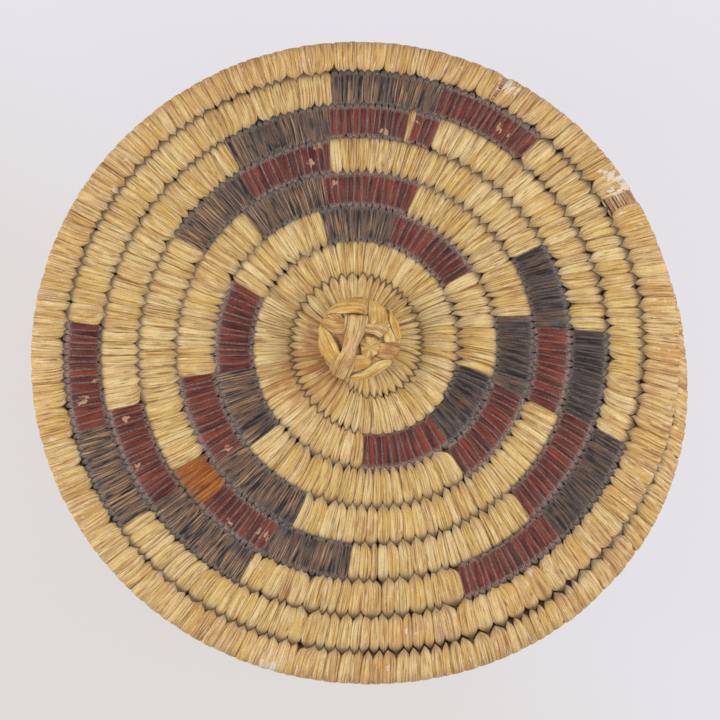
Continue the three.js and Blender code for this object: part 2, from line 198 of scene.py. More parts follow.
basketShape = {
    "startAngle": 270,
    "hubRadius": 6.5,
    "wallTilts": (28, 60, 78, 86, 90, 92, 94, 96),
    "neckRounds": 3,
    "knot": (4.0, 3.95, 4.1),  # radius of its ring, half its width and half its thickness
    "knotEnd": 371,  # the phase at which its ring has closed
    "startBundle": (5.9, 4.7, 1.7),  # the grass that closes the crack round it
}
ringEnd = 440  # the phase up to which such a ring of grass goes
halfThickness = coilSizes["thickness"] / 2
halfWidth = (coilSizes["pitch"] - coilSizes["roundGap"]) / 2
bundleKeys = ("radius", "height", "tilt", "halfWidth", "halfThickness")


def smooth(share):
    share = np.clip(share, 0, 1)
    return share * share * (3 - 2 * share)


def lidLine(phase):
    turns, angle = phase / 360, np.radians(phase)
    shape = {key: lidShape[key][0] + lidShape[key][1] * turns for key in ("shiftX", "shiftY", "oval", "ovalTurned")}
    return (lidShape["firstRadius"] + lidShape["growth"] * turns - lidShape["slowing"] * turns ** 2
            + shape["shiftX"] * np.cos(angle) + shape["shiftY"] * np.sin(angle)
            + shape["oval"] * np.cos(2 * angle) + shape["ovalTurned"] * np.sin(2 * angle))


def flatCoil(line, hubRadius, heightAt, toPhase):
    phases = np.arange(-360, toPhase + 360, coilSizes["gridStep"])
    phases = phases[line(phases) >= hubRadius + coilSizes["startWidth"]]
    outer = line(phases)
    inner = np.maximum(line(phases - 360), hubRadius)
    radius = (outer + inner) / 2
    return {
        "phase": phases,
        "radius": radius,
        "height": heightAt(radius),
        "tilt": np.zeros(len(phases)),
        "halfWidth": (outer - inner - coilSizes["roundGap"]) / 2,
        "halfThickness": halfThickness * np.sqrt((outer - inner) / (outer - line(phases - 360))),
    }


def reachAcross(bundleWidth, bundleThickness, degrees):
    along = np.abs(np.cos(np.radians(degrees))) * bundleWidth
    across = np.abs(np.sin(np.radians(degrees))) * bundleThickness
    return np.maximum(along, coilSizes["flatShare"] * along + across)


def stackOn(coil, fromPhase, tilts):
    span, gap = coilSizes["climbSpan"], coilSizes["roundGap"]
    turn = int(360 / coilSizes["gridStep"])
    toPhase = fromPhase + 360 * len(tilts) + span * coilSizes["taperShare"]
    phases = np.arange(coil["phase"][0], toPhase, coilSizes["gridStep"])
    table = {key: np.interp(phases, coil["phase"], coil[key]) for key in bundleKeys}
    table["phase"] = phases
    for place in np.flatnonzero(phases > fromPhase):
        phase, under = phases[place], place - turn
        turnNumber = int((phase - fromPhase) // 360)
        climbed = smooth((phase - fromPhase - 360 * turnNumber) / span)
        before = tilts[turnNumber - 1] if turnNumber > 0 else 0
        tilt = before + (tilts[min(turnNumber, len(tilts) - 1)] - before) * climbed
        thinned = 1 if turnNumber < len(tilts) else 1 - climbed
        fullWidth = halfWidth if turnNumber > 0 else table["halfWidth"][place] * (1 - climbed) + halfWidth * climbed
        width = fullWidth * thinned
        underWidth, underThickness = table["halfWidth"][under], table["halfThickness"][under]
        underTilt = table["tilt"][under]
        reach = reachAcross(underWidth, underThickness, tilt - underTilt) + width + gap
        turned = abs(math.sin(math.radians(tilt))) - abs(math.sin(math.radians(underTilt)))
        table["radius"][place] = (table["radius"][under] + reach * math.cos(math.radians(tilt))
                                  + (halfWidth - halfThickness) * turned)
        table["height"][place] = table["height"][under] + reach * math.sin(math.radians(tilt))
        table["tilt"][place] = tilt
        table["halfWidth"][place] = width
        table["halfThickness"][place] = halfThickness * math.sqrt(thinned)
    return table


def placed(table, centre, startAngle, lift=0):
    table["centre"], table["startAngle"] = centre, startAngle
    table["lift"], table["height"] = lift, table["height"] + lift
    return table


def lidCoil():
    rim = lidLine(lidShape["endPhase"])
    flat = flatCoil(lidLine, lidShape["hubRadius"], lambda r: lidShape["dome"] * (1 - (r / rim) ** 2),
                    lidShape["endPhase"])
    lowest = flat["height"][flat["phase"] <= lidShape["endPhase"]].min() - halfThickness
    table = stackOn(flat, lidShape["endPhase"], lidShape["skirtTilts"])
    return placed(table, lidShape["hub"], 0, cadSpan("lid_coil")[0][2] - lowest)


def basketCoil(outerLine, turns):
    pitch, span = coilSizes["pitch"], coilSizes["climbSpan"]

    def line(phase):
        whole = np.floor(phase / 360)
        share = phase / 360 - whole
        late = np.clip((whole + 1) / turns, 0, 1)
        growth = whole + share + (smooth(share * 360 / span) - share) * late
        return outerLine + pitch * (growth - turns)

    flat = flatCoil(line, basketShape["hubRadius"], lambda r: np.full_like(r, halfThickness), 360 * turns)
    return stackOn(flat, 360 * turns, basketShape["wallTilts"])


def wholeBasketCoil(neckRadius):
    wallRadius = neckRadius + coilSizes["thickness"] + coilSizes["roundGap"]
    trial = basketCoil(wallRadius, 1)
    lastPhase = 360 * (1 + len(basketShape["wallTilts"]))
    spread = np.interp(lastPhase, trial["phase"], trial["radius"]) - wallRadius
    outerLine = wallRadius - spread
    turns = int((outerLine - basketShape["hubRadius"]) // coilSizes["pitch"])
    return placed(basketCoil(outerLine, turns), (0, 0), basketShape["startAngle"]), 360 * turns


def neckCoil(neckRadius):
    pitch, span, rounds = coilSizes["pitch"], coilSizes["climbSpan"], basketShape["neckRounds"]
    firstHeight = cadSpan("neck_coil")[0][2] + halfWidth
    start = span * (1 - coilSizes["taperShare"])
    phases = np.arange(start, 360 * rounds + span * coilSizes["taperShare"], coilSizes["gridStep"])
    whole = np.floor(phases / 360)
    climbed = smooth((phases - whole * 360) / span)
    share = np.ones(len(phases))
    climb = firstHeight + pitch * (whole - 1 + climbed)
    share[whole == 0] = ((pitch * climbed - coilSizes["roundGap"]) / (pitch - coilSizes["roundGap"]))[whole == 0]
    share[whole == rounds] = (1 - climbed)[whole == rounds]
    height = np.where(whole == 0, firstHeight - halfWidth * (1 - share), climb)
    height = np.where(whole == rounds, climb + halfWidth * (share - 1), height)
    table = {
        "phase": phases,
        "radius": np.full(len(phases), neckRadius),
        "height": height,
        "tilt": np.full(len(phases), 90.0),
        "halfWidth": halfWidth * share,
        "halfThickness": halfThickness * np.sqrt(share),
    }
    return placed(table, (0, 0), basketShape["startAngle"])


def bundleAt(table, phase):
    return {key: np.interp(phase, table["phase"], table[key]) for key in bundleKeys}


def sectionPoint(table, phase, wide, thick):
    # Where a point of the bundle's section lies: wide along the tilt, thick across it.
    bundle = bundleAt(table, phase)
    tilt = np.radians(bundle["tilt"])
    radius = bundle["radius"] + wide * np.cos(tilt) - thick * np.sin(tilt)
    height = bundle["height"] + wide * np.sin(tilt) + thick * np.cos(tilt)
    angle = np.radians(phase + table["startAngle"])
    x = table["centre"][0] + radius * np.cos(angle)
    y = table["centre"][1] + radius * np.sin(angle)
    return stacked(x, y, height)


# Meshes

def stacked(*parts):
    return np.stack(np.broadcast_arrays(*parts), axis=-1)


def gridFaces(rows, columns, wrapRows=False):
    # The faces of a tube of points, whose columns go round.
    row, column = np.meshgrid(np.arange(rows - (not wrapRows)), np.arange(columns), indexing="ij")
    after, beside = (row + 1) % rows, (column + 1) % columns
    return np.stack([row * columns + column, row * columns + beside, after * columns + beside,
                     after * columns + column], axis=-1).reshape(-1, 4)


def meshPiece(name, points, faces, material, body, rounded=True, place=None, look=None, spread=None):
    # Place and look are what a leaf's material reads at each point.
    mesh = bpy.data.meshes.new(name)
    mesh.from_pydata((np.reshape(points, (-1, 3)) * mm).tolist(), [], [list(map(int, face)) for face in faces])
    mesh.polygons.foreach_set("use_smooth", np.array(np.broadcast_to(rounded, len(faces))))
    for key, values in (("leafPlace", place), ("leafLook", look)):
        if values is not None:
            layer = mesh.attributes.new(key, "FLOAT_VECTOR", "POINT")
            layer.data.foreach_set("vector", np.asarray(values, np.float32).ravel())
    if spread is not None:
        mesh.uv_layers.new(name="OFBake").data.foreach_set("uv", np.asarray(spread, np.float32).ravel())
    mesh.materials.append(material)
    mesh.update()
    piece = bpy.data.objects.new(name, mesh)
    scene.collection.objects.link(piece)
    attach(piece, body)
    return piece


# Stitches: each is a closed band of leaf that goes once round the bundle. Its inner end is pointed
# and goes down between two stitches of the round before, and its outer end is blunt.

stitchSizes = {
    "spacing": 3.25,  # of natural stitches, which get wider from the hub out
    "spacingGrowth": 0.0125,
    "mostAtHub": 0.13,  # of the distance from the hub
    "dyedSpacing": {"red": 2.2, "black": 2.05, "orange": 2.9},
    # How far an end goes past the joint, over what length it narrows, and how sharp it is
    "innerEnd": {"natural": (1.3, 2.3, 0.62), "pointed": (1.35, 3.3, 0.8), "red": (0.8, 1.5, 0.6),
                 "black": (0.8, 1.5, 0.6), "orange": (0.8, 1.6, 0.7), "skirt": (0.45, 2.8, 0.85)},
    "outerEnd": {"natural": (1.25, 2.1, 0.6), "pointed": (1.3, 3.0, 0.9), "red": (1.0, 1.5, 0.4),
                 "black": (1.0, 1.5, 0.4), "orange": (1.0, 1.6, 0.4), "skirt": (1.1, 2.0, 0.6)},
    "bluntEnd": (0.85, 1.0, 0.3),  # of a natural stitch under dyed ones
    "hubEnds": {"innerEnd": (1.2, 1.8, 0.45), "outerEnd": (1.5, 3.0, 1.1)},  # where the first round lies on top
    "pointedAngle": 335,  # the side of the coil on which the ends are pointed most
    "pointedLeast": 0.3,
    "pointedSwing": 0.9,
    "pointedBefore": 780,  # phase up to which all are
    "hubRound": 330,  # phase up to which the outer ends lie on the next round
    "hubDustAndShade": (0.55, 0.8),  # share of the dust and painted shade on an end that lies on top, and of the painted shade on one underneath
    "atRim": (0.2, 1.6),  # how much shorter, and sooner narrow, the ends are where the lid turns down
    "rimTurn": (15, 55, 70, 90),  # degrees between two rounds at which that starts, is full, fades and is gone
    "stretchFrom": 1.5,  # reaches of an end before the joint, where it starts to stretch
    "endShort": 0.1,
    "valley": 1.4,  # depth of the joint between two rounds
    "valleyPower": 2.2,
    "ridge": (0.22, 0.2),  # height of an end on top, and depth of one underneath
    "ridgeFrom": 0.4,  # share of the way to the joint
    "innerSooner": 0.25,
    "dustAndShadeReach": 1.2,
    "shoulderPlace": 0.78,
    "dropAlong": (0.46, 0.11),  # of the side's edge and of its shoulder, halfway along the stitch
    "dropAtEnds": (0.8, 0.3),
    "overlap": 0.1,
    "shingle": 0.05,  # how far one edge lies over the next stitch
    "liftSpread": 0.05,
    "mostLift": 0.2,
    "widthSpread": 0.11,
    "lastWidth": 1.5,  # stitches that the last one before a block may take the place of
    "crackAhead": (0.62, 1.2, 2.5),  # stitches to the crack aimed at: the least, for one and for two
    "mostShift": 0.35,  # of a tip towards its crack, in stitches
    "shiftPower": 7,  # how soon that fades behind the tip
    "bendSpread": 0.16,
    "soleMm": 0.8,  # height over which the basket's lowest stitches are flattened
    "lean": -5,  # degrees from straight out, clockwise
    "leanSwing": (4, 330),  # how much more, on which side of the coil
    "leanSpread": 1.6,
}


def leanAt(table, phase, spread=0.0):
    # How far a stitch's outer end lies past its inner end, in degrees of phase.
    angle = np.radians(phase + table["startAngle"])
    swing, towards = stitchSizes["leanSwing"]
    lean = np.radians(stitchSizes["lean"] - swing * np.cos(angle - math.radians(towards)) + spread)
    bundle = bundleAt(table, phase)
    return np.degrees(2 * bundle["halfWidth"] * np.tan(lean) / bundle["radius"])


def layStitches(table, start, end, blocks, hasHub=False):
    # Boundaries between stitches along a coil. A natural stitch goes between two stitches of the
    # round before, and where they have spread too far apart, two go there.
    edges, kinds, centres = [start], [], []
    least, forOne, forTwo = stitchSizes["crackAhead"]

    def add(edge, kind):
        centres.append((edges[-1] + edge) / 2)
        edges.append(edge)
        kinds.append(kind)

    for blockStart, blockEnd, kind in sorted(blocks) + [(end, end, "end")]:
        while edges[-1] < blockStart - 1e-6:
            here = edges[-1]
            radius = bundleAt(table, here)["radius"]
            spacing = min(stitchSizes["spacing"] + stitchSizes["spacingGrowth"] * radius,
                          stitchSizes["mostAtHub"] * radius)
            step = math.degrees(spacing / radius) * (1 + rng.normal(0, stitchSizes["widthSpread"]))
            if blockStart - here < stitchSizes["lastWidth"] * step:
                add(blockStart, "natural")
                continue
            ahead = np.array(centres) + 360 + leanAt(table, here)
            ahead = ahead[ahead > here + least * step]
            target = here + step
            if len(ahead):
                nearest = ahead[np.argmin(np.abs(ahead - target))]
                if nearest < here + forOne * step:
                    target = nearest
                elif nearest < here + forTwo * step:
                    target = (here + nearest) / 2
            add(target, "natural")
        if kind == "end":
            break
        if kind == "bare":
            add(blockEnd, "bare")
            continue
        radius = bundleAt(table, blockStart)["radius"]
        width = math.radians(blockEnd - blockStart) * radius
        count = max(2, round(width / stitchSizes["dyedSpacing"][kind]))
        widths = 1 + rng.normal(0, stitchSizes["widthSpread"], count)
        for share in np.cumsum(widths) / widths.sum():
            add(blockStart + (blockEnd - blockStart) * share, kind)

    edges, kinds = np.array(edges), np.array(kinds)
    bundle = bundleAt(table, edges)
    lean = leanAt(table, edges, rng.normal(0, stitchSizes["leanSpread"], len(edges)))
    bend = np.degrees(rng.normal(0, stitchSizes["bendSpread"], len(edges)) / bundle["radius"])
    tips = (edges[:-1] + edges[1:] - (lean[:-1] + lean[1:]) / 2) / 2
    cracks = np.sort(edges + lean / 2) + 360
    nearest = cracks[np.clip(np.searchsorted(cracks, tips), 1, len(cracks) - 1) - np.array([[1], [0]])]
    nearest = np.where(np.abs(nearest[0] - tips) < np.abs(nearest[1] - tips), nearest[0], nearest[1])
    shift = nearest - tips
    shift = np.where(np.abs(shift) < stitchSizes["mostShift"] * np.diff(edges), shift, 0)
    middle = (edges[:-1] + edges[1:]) / 2
    under = [any(low - 360 < phase < high - 360 for low, high, kind in blocks if kind != "bare") for phase in middle]
    hubRound = stitchSizes["hubRound"] if hasHub else -math.inf
    return {"left": edges[:-1], "right": edges[1:], "middle": middle, "leftLean": lean[:-1], "rightLean": lean[1:],
            "leftBend": bend[:-1], "rightBend": bend[1:], "tipShift": shift, "kind": kinds,
            "blunt": np.array(under) & (kinds == "natural"), "outerEndOnTop": middle < hubRound,
            "innerEndUnder": (middle > 0) & (middle < hubRound + 360)}


def endShapes(table, stitches, end, onTop):
    shapes, middle = stitchSizes[end], stitches["middle"]
    shape = np.array([shapes[kind] for kind in stitches["kind"]])
    turned = np.radians(middle + table["startAngle"] - stitchSizes["pointedAngle"])
    least = stitchSizes["pointedLeast"]
    pointed = least + (1 - least) * smooth(0.5 + stitchSizes["pointedSwing"] * np.cos(turned))
    pointed = np.where(middle < stitchSizes["pointedBefore"], 1, pointed) * (stitches["kind"] == "natural")
    shape += pointed[:, None] * (np.array(shapes["pointed"]) - shape)
    shape[onTop] = stitchSizes["hubEnds"][end]
    if end == "outerEnd":
        below = np.abs(bundleAt(table, middle + 360)["tilt"] - bundleAt(table, middle)["tilt"])
        starts, full, fades, gone = stitchSizes["rimTurn"]
        atRim = smooth((below - starts) / (full - starts)) * (1 - smooth((below - fades) / (gone - fades)))
        shorter, sooner = stitchSizes["atRim"]
        shape += (atRim * (table["lift"] > 0))[:, None] * (-shorter, sooner, 0)
        shape[stitches["blunt"]] = stitchSizes["bluntEnd"]
    return shape


def chosen(stitches, mask):
    return {key: values[mask] for key, values in stitches.items()}


def sectionShares(frontCount, backCount):
    front = np.sin(np.linspace(-math.pi / 2, math.pi / 2, frontCount))
    back = np.sin(np.linspace(math.pi / 2, -math.pi / 2, backCount + 2))[1:-1]
    return np.concatenate([front, back]), np.concatenate([np.ones(frontCount), -np.ones(backCount)])


def stitchSection(table, middle, share, side, innerEnd, outerEnd, innerUnder, outerOver):
    # The line once round the bundle that a stitch follows, and how wide the stitch is along it. The
    # bundle's section is where |wide|³ + thick² = 1, in halves of its width and thickness.
    own = bundleAt(table, middle)
    wide = own["halfWidth"] * share
    thick = own["halfThickness"] * np.sqrt(1 - np.abs(share) ** 3) * side
    outWide, outThick = 3 * share * np.abs(share) / own["halfWidth"], 2 * thick / own["halfThickness"] ** 2
    length = np.hypot(outWide, outThick)
    outWide, outThick = outWide / length, outThick / length
    gap, stretchFrom = coilSizes["roundGap"] / 2, stitchSizes["stretchFrom"]
    high, deep = stitchSizes["ridge"]
    turned = np.radians(bundleAt(table, middle + 360)["tilt"] - own["tilt"])
    nextReach = reachAcross(own["halfWidth"], own["halfThickness"], np.degrees(turned)) + gap
    joints = [
        (np.cos(turned), np.sin(turned), nextReach, middle + 360 <= table["phase"][-1], outerEnd, outerOver, 0),
        (-1, 0, own["halfWidth"] + gap, middle - 360 >= table["phase"][0], innerEnd, ~innerUnder,
         stitchSizes["innerSooner"]),
    ]
    narrow, closeness = np.ones(wide.shape), []
    for towardWide, towardThick, distance, exists, end, above, sooner in joints:
        reach, taper, power = end[:, :1], end[:, 1:2], end[:, 2:]
        # Stretch the end past the joint line.
        along = wide * towardWide + thick * towardThick
        stretch = (reach + gap - stitchSizes["endShort"]) / (stretchFrom * reach - gap)
        over = np.clip(along - (distance - stretchFrom * reach), 0, None) * exists * stretch
        wide, thick = wide + towardWide * over, thick + towardThick * over
        # Fill the valley: rounds that are sewn together are pressed nearly flat.
        along = (along + over) / distance
        height = thick * towardWide - wide * towardThick
        crown = own["halfThickness"] * np.abs(towardWide) + own["halfWidth"] * np.abs(towardThick)
        direction = np.where(np.abs(height) > 0.05, np.sign(height), np.sign(towardWide) * side)
        near = np.clip(np.where(above, np.minimum(along, 2 - along), along), 0, 1)
        rest = np.clip((along - 1) * distance / reach, -1, 1)
        ridge = np.where(above, high * (1 + np.minimum(rest, 0)) - deep * np.maximum(rest, 0), -deep * (1 + rest))
        target = (crown - stitchSizes["valley"] * near ** stitchSizes["valleyPower"]
                  + ridge * (along > stitchSizes["ridgeFrom"]))
        raised = np.maximum(np.abs(height), target) * direction
        change = np.where((along > 0) & exists, raised - height, 0)
        wide, thick = wide - towardThick * change, thick + towardWide * change
        turn = np.where((along > 0) & exists, np.clip(along, 0, 1) ** 2, 0)
        outWide = outWide * (1 - turn) - towardThick * direction * turn
        outThick = outThick * (1 - turn) + towardWide * direction * turn
        left = np.clip((distance + reach - along * distance - sooner) / taper, 0.01, 1)
        left = (1 - (1 - left) ** 2) ** power
        narrow = np.minimum(narrow, np.where(exists, left, 1))
        close = np.clip(1 - (distance + reach - along * distance) / (taper + stitchSizes["dustAndShadeReach"]), 0, 1)
        closeness.append(np.where(exists, close, 0))
    return own, wide, thick, outWide, outThick, narrow, closeness


def stitchPiece(name, node, table, stitches, material, body, slot="natural_leaf", detail=(17, 5)):
    front = -1 if body == "basket" else 1
    ends = [endShapes(table, stitches, end, stitches[onTop])
            for end, onTop in (("innerEnd", "innerEndUnder"), ("outerEnd", "outerEndOnTop"))]
    innerUnder, outerOver = stitches["innerEndUnder"][:, None], stitches["outerEndOnTop"][:, None]
    share, face = sectionShares(*detail)
    own, wide, thick, outWide, outThick, narrow, (outer, inner) = stitchSection(
        table, stitches["middle"][:, None], share, face * front, *ends, innerUnder, outerOver)

    acrossShare = np.clip((wide + own["halfWidth"]) / (2 * own["halfWidth"]), 0, 1)
    sides = [stitches[key][:, None] + stitches[key + "Lean"][:, None] * (acrossShare - 0.5)
             + stitches[key + "Bend"][:, None] * np.sin(math.pi * acrossShare) for key in ("left", "right")]
    overlap = np.degrees(stitchSizes["overlap"] / own["radius"])
    shift = stitches["tipShift"][:, None] * (1 - acrossShare) ** stitchSizes["shiftPower"]
    centre = (sides[0] + sides[1]) / 2 + shift
    halfSpan = ((sides[1] - sides[0]) / 2 + overlap) * narrow
    shoulder = stitchSizes["shoulderPlace"]
    across = np.array([-1, -shoulder, 0, shoulder, 1])
    dropAlong, dropAtEnds = [np.array([edge, side, 0, side, edge])
                             for edge, side in (stitchSizes["dropAlong"], stitchSizes["dropAtEnds"])]
    count, rows, columns = len(sides[0]), len(share), len(across)
    atEnds = np.maximum(inner, outer)[:, :, None]
    lift = rng.normal(0, stitchSizes["liftSpread"], (count, 1, 1))
    roll = rng.normal(stitchSizes["shingle"], stitchSizes["liftSpread"], (count, 1, 1)) * across
    mostLift = stitchSizes["mostLift"]
    offset = np.clip(lift + roll, -mostLift, mostLift) - dropAlong - (dropAtEnds - dropAlong) * atEnds
    points = sectionPoint(table, centre[:, :, None] + halfSpan[:, :, None] * across,
                          wide[:, :, None] + outWide[:, :, None] * offset,
                          thick[:, :, None] + outThick[:, :, None] * offset)
    if body == "basket":  # it stands flat: the lowest stitches are worn level
        low = points[..., 2] < stitchSizes["soleMm"]
        points[..., 2][low] = stitchSizes["soleMm"] * np.exp(points[..., 2][low] / stitchSizes["soleMm"] - 1)

    corners = gridFaces(rows, columns, True)
    if front < 0:
        corners = corners[:, ::-1]
    faces = (np.arange(count)[:, None, None] * rows * columns + corners).reshape(-1, 4)
    rounded = np.tile(np.isin(np.arange(columns), (1, 2)), rows * count)  # all but the sides and the strip underneath
    identity = rng.random((count, 1, 1))
    halfMm = np.radians(halfSpan * own["radius"])[:, :, None]
    acrossMm = halfMm / narrow[:, :, None] * across  # the fibres draw together towards the ends
    rimMm = np.clip(halfMm * (1 - np.abs(across)) - stitchSizes["overlap"], 0, None)
    # Inner is dust and painted shade towards an end, outer the painted shade under the next round: an outer end lying
    # on top gets some dust and painted shade in its place, and an inner end lying underneath gets painted shade.
    onTop, underneath = stitchSizes["hubDustAndShade"]
    inner, outer = np.where(outerOver, np.maximum(inner, onTop * outer), inner), outer * ~outerOver
    outer = np.maximum(outer, underneath * inner * innerUnder)
    piece = meshPiece(name, points, faces, material, body, rounded,
                      stacked(acrossMm, (wide + own["halfWidth"])[:, :, None], identity),
                      stacked(rimMm, inner[:, :, None], outer[:, :, None]),
                      bakeSpread(count, rows, columns, front < 0))
    if node:
        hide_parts(node)


def bakeSpread(count, rows, columns, flipped):
    # One cell of the bake's map for each stitch, all in a grid.
    cellShape = 7  # a stitch's length over its width
    used, margin = (0.88, 0.97), (0.06, 0.015)
    perRow = max(1, math.ceil(math.sqrt(count * cellShape)))
    perColumn = math.ceil(count / perRow)
    row, column = np.meshgrid(np.arange(rows), np.arange(columns), indexing="ij")
    u = np.stack([column, column + 1, column + 1, column], axis=-1) / columns
    v = np.stack([row, row, row + 1, row + 1], axis=-1) / rows
    cell = np.stack([u, v], axis=-1).reshape(-1, 4, 2) * used + margin
    if flipped:
        cell = cell[:, ::-1]
    corner = np.stack([np.arange(count) % perRow, np.arange(count) // perRow], axis=-1)[:, None, None]
    return (corner + cell) / (perRow, perColumn)


# The grass: bundles under the leaf, and stems that show where stitches are lost

grassBundle = {
    "inset": 0.75,  # from the leaf's outside in to the grass
    "step": 3.75,  # degrees
    "sides": 12,
    "short": 3.8,  # how far from its coil's end it ends, in mm
    "leastWidth": 0.3,
    "leastThickness": 0.2,
    "pressed": 0.6,  # into the next round
}
bareStems = {
    "count": 18,
    "diameter": 0.82,
    "sides": 8,
    "rings": 9,
    "from": -68,  # degrees round the bundle from its outward side
    "to": 122,
    "scatter": 0.025,
    "sizes": (0.8, 1.15),
    "sunk": 0.3,
    "sunkSpread": 0.35,
    "past": 1.6,  # how far they go under the stitches beside them
    "hollow": (1.25, 2.4),  # depth of the joint to the round before, and how sharply it falls
    "dustAndShade": (0.0, 0.5, 0.8),  # on a stem, with how often each comes
    "dustShares": (0.55, 0.3, 0.15),
}


def ringTable(radius, width, thickness, lastPhase, centre=(0, 0), height=halfThickness):
    phases = np.arange(-10, lastPhase, 5.0)
    table = {key: np.full(len(phases), float(value))
             for key, value in zip(bundleKeys, (radius, height, 0, width, thickness))}
    return placed(table | {"phase": phases}, centre, 0)


def bundlePiece(name, table, material, body, inset=grassBundle["inset"]):
    # Seen as the dark between stitches, its dark colour partly painted shade. Its rounds touch.
    sides, firstPhase, lastPhase = grassBundle["sides"], table["phase"][0], table["phase"][-1]
    first, last = [math.degrees(grassBundle["short"] / bundleAt(table, phase)["radius"])
                   for phase in (firstPhase, lastPhase)]
    first, last = firstPhase + first * (firstPhase > 0), lastPhase - last
    phases = np.append(np.arange(first, last, grassBundle["step"]), last)[:, None]
    bundle = bundleAt(table, phases)
    turn = np.linspace(0, 2 * math.pi, sides, endpoint=False)
    after = phases + 360
    turned = np.radians(bundleAt(table, after)["tilt"] - bundle["tilt"])
    touch = inset + coilSizes["roundGap"]
    halfWide = np.maximum(bundle["halfWidth"] - inset, grassBundle["leastWidth"])
    halfThick = np.maximum(bundle["halfThickness"] - inset, grassBundle["leastThickness"])
    apart = (reachAcross(bundle["halfWidth"], bundle["halfThickness"], np.degrees(turned))
             - np.hypot(halfWide * np.cos(turned), halfThick * np.sin(turned)) + grassBundle["pressed"])
    outward = apart * np.clip(np.cos(turn - turned), 0, 1) * (after <= lastPhase)
    inward = touch * np.clip(-np.cos(turn), 0, 1) * (phases - 360 >= firstPhase)
    wide = halfWide * np.cos(turn) + outward * np.cos(turned) - inward
    thick = halfThick * np.sin(turn) + outward * np.sin(turned)
    end = np.arange(sides)
    faces = gridFaces(len(phases), sides).tolist() + [end[::-1], (len(phases) - 1) * sides + end]
    return meshPiece(name, sectionPoint(table, phases, wide, thick), faces, material, body)


def barePiece(name, table, start, end, material, body):
    # Thin stalks side by side along the coil.
    reach = math.degrees(bareStems["past"] / bundleAt(table, start)["radius"])
    phases = np.linspace(start - reach, end + reach, bareStems["rings"])[:, None, None]
    bundle = bundleAt(table, phases)
    stems, sides = bareStems["count"], bareStems["sides"]
    around = np.radians(np.linspace(bareStems["from"], bareStems["to"], stems))
    around = (around + rng.normal(0, bareStems["scatter"], stems))[None, :, None]
    share = np.sin(around)
    turn = np.linspace(0, 2 * math.pi, sides, endpoint=False)
    radius = bareStems["diameter"] / 2 * rng.uniform(*bareStems["sizes"], (1, stems, 1))
    sunk = bareStems["sunk"] + rng.uniform(0, bareStems["sunkSpread"], (1, stems, 1)) + radius
    depth, power = bareStems["hollow"]
    outline = bundle["halfThickness"] * np.sqrt(np.clip(1 - np.abs(share) ** 3, 0, 1)) * np.sign(np.cos(around))
    level = np.where(share < 0, bundle["halfThickness"] - depth * np.abs(share) ** power, outline)
    outward = np.clip(share, 0, 1) ** 2
    wide = bundle["halfWidth"] * share - sunk * outward + radius * np.cos(turn)
    thick = level - sunk * (1 - outward) + radius * np.sin(turn)
    points = sectionPoint(table, phases, wide, thick)
    alongMm = np.radians(phases - start) * bundle["radius"]
    place = stacked(turn * radius, alongMm, rng.random((1, stems, 1)))
    dustAndShade = rng.choice(bareStems["dustAndShade"], (stems, 1, 1), p=bareStems["dustShares"])
    points, place = points.transpose(1, 0, 2, 3), place.transpose(1, 0, 2, 3)
    faces = np.arange(stems)[:, None, None] * len(phases) * sides + gridFaces(len(phases), sides)[:, ::-1]
    return meshPiece(name, points, faces.reshape(-1, 4), material, body, True, place,
                     stacked(np.ones(points.shape[:3]), dustAndShade, 0))


# Materials

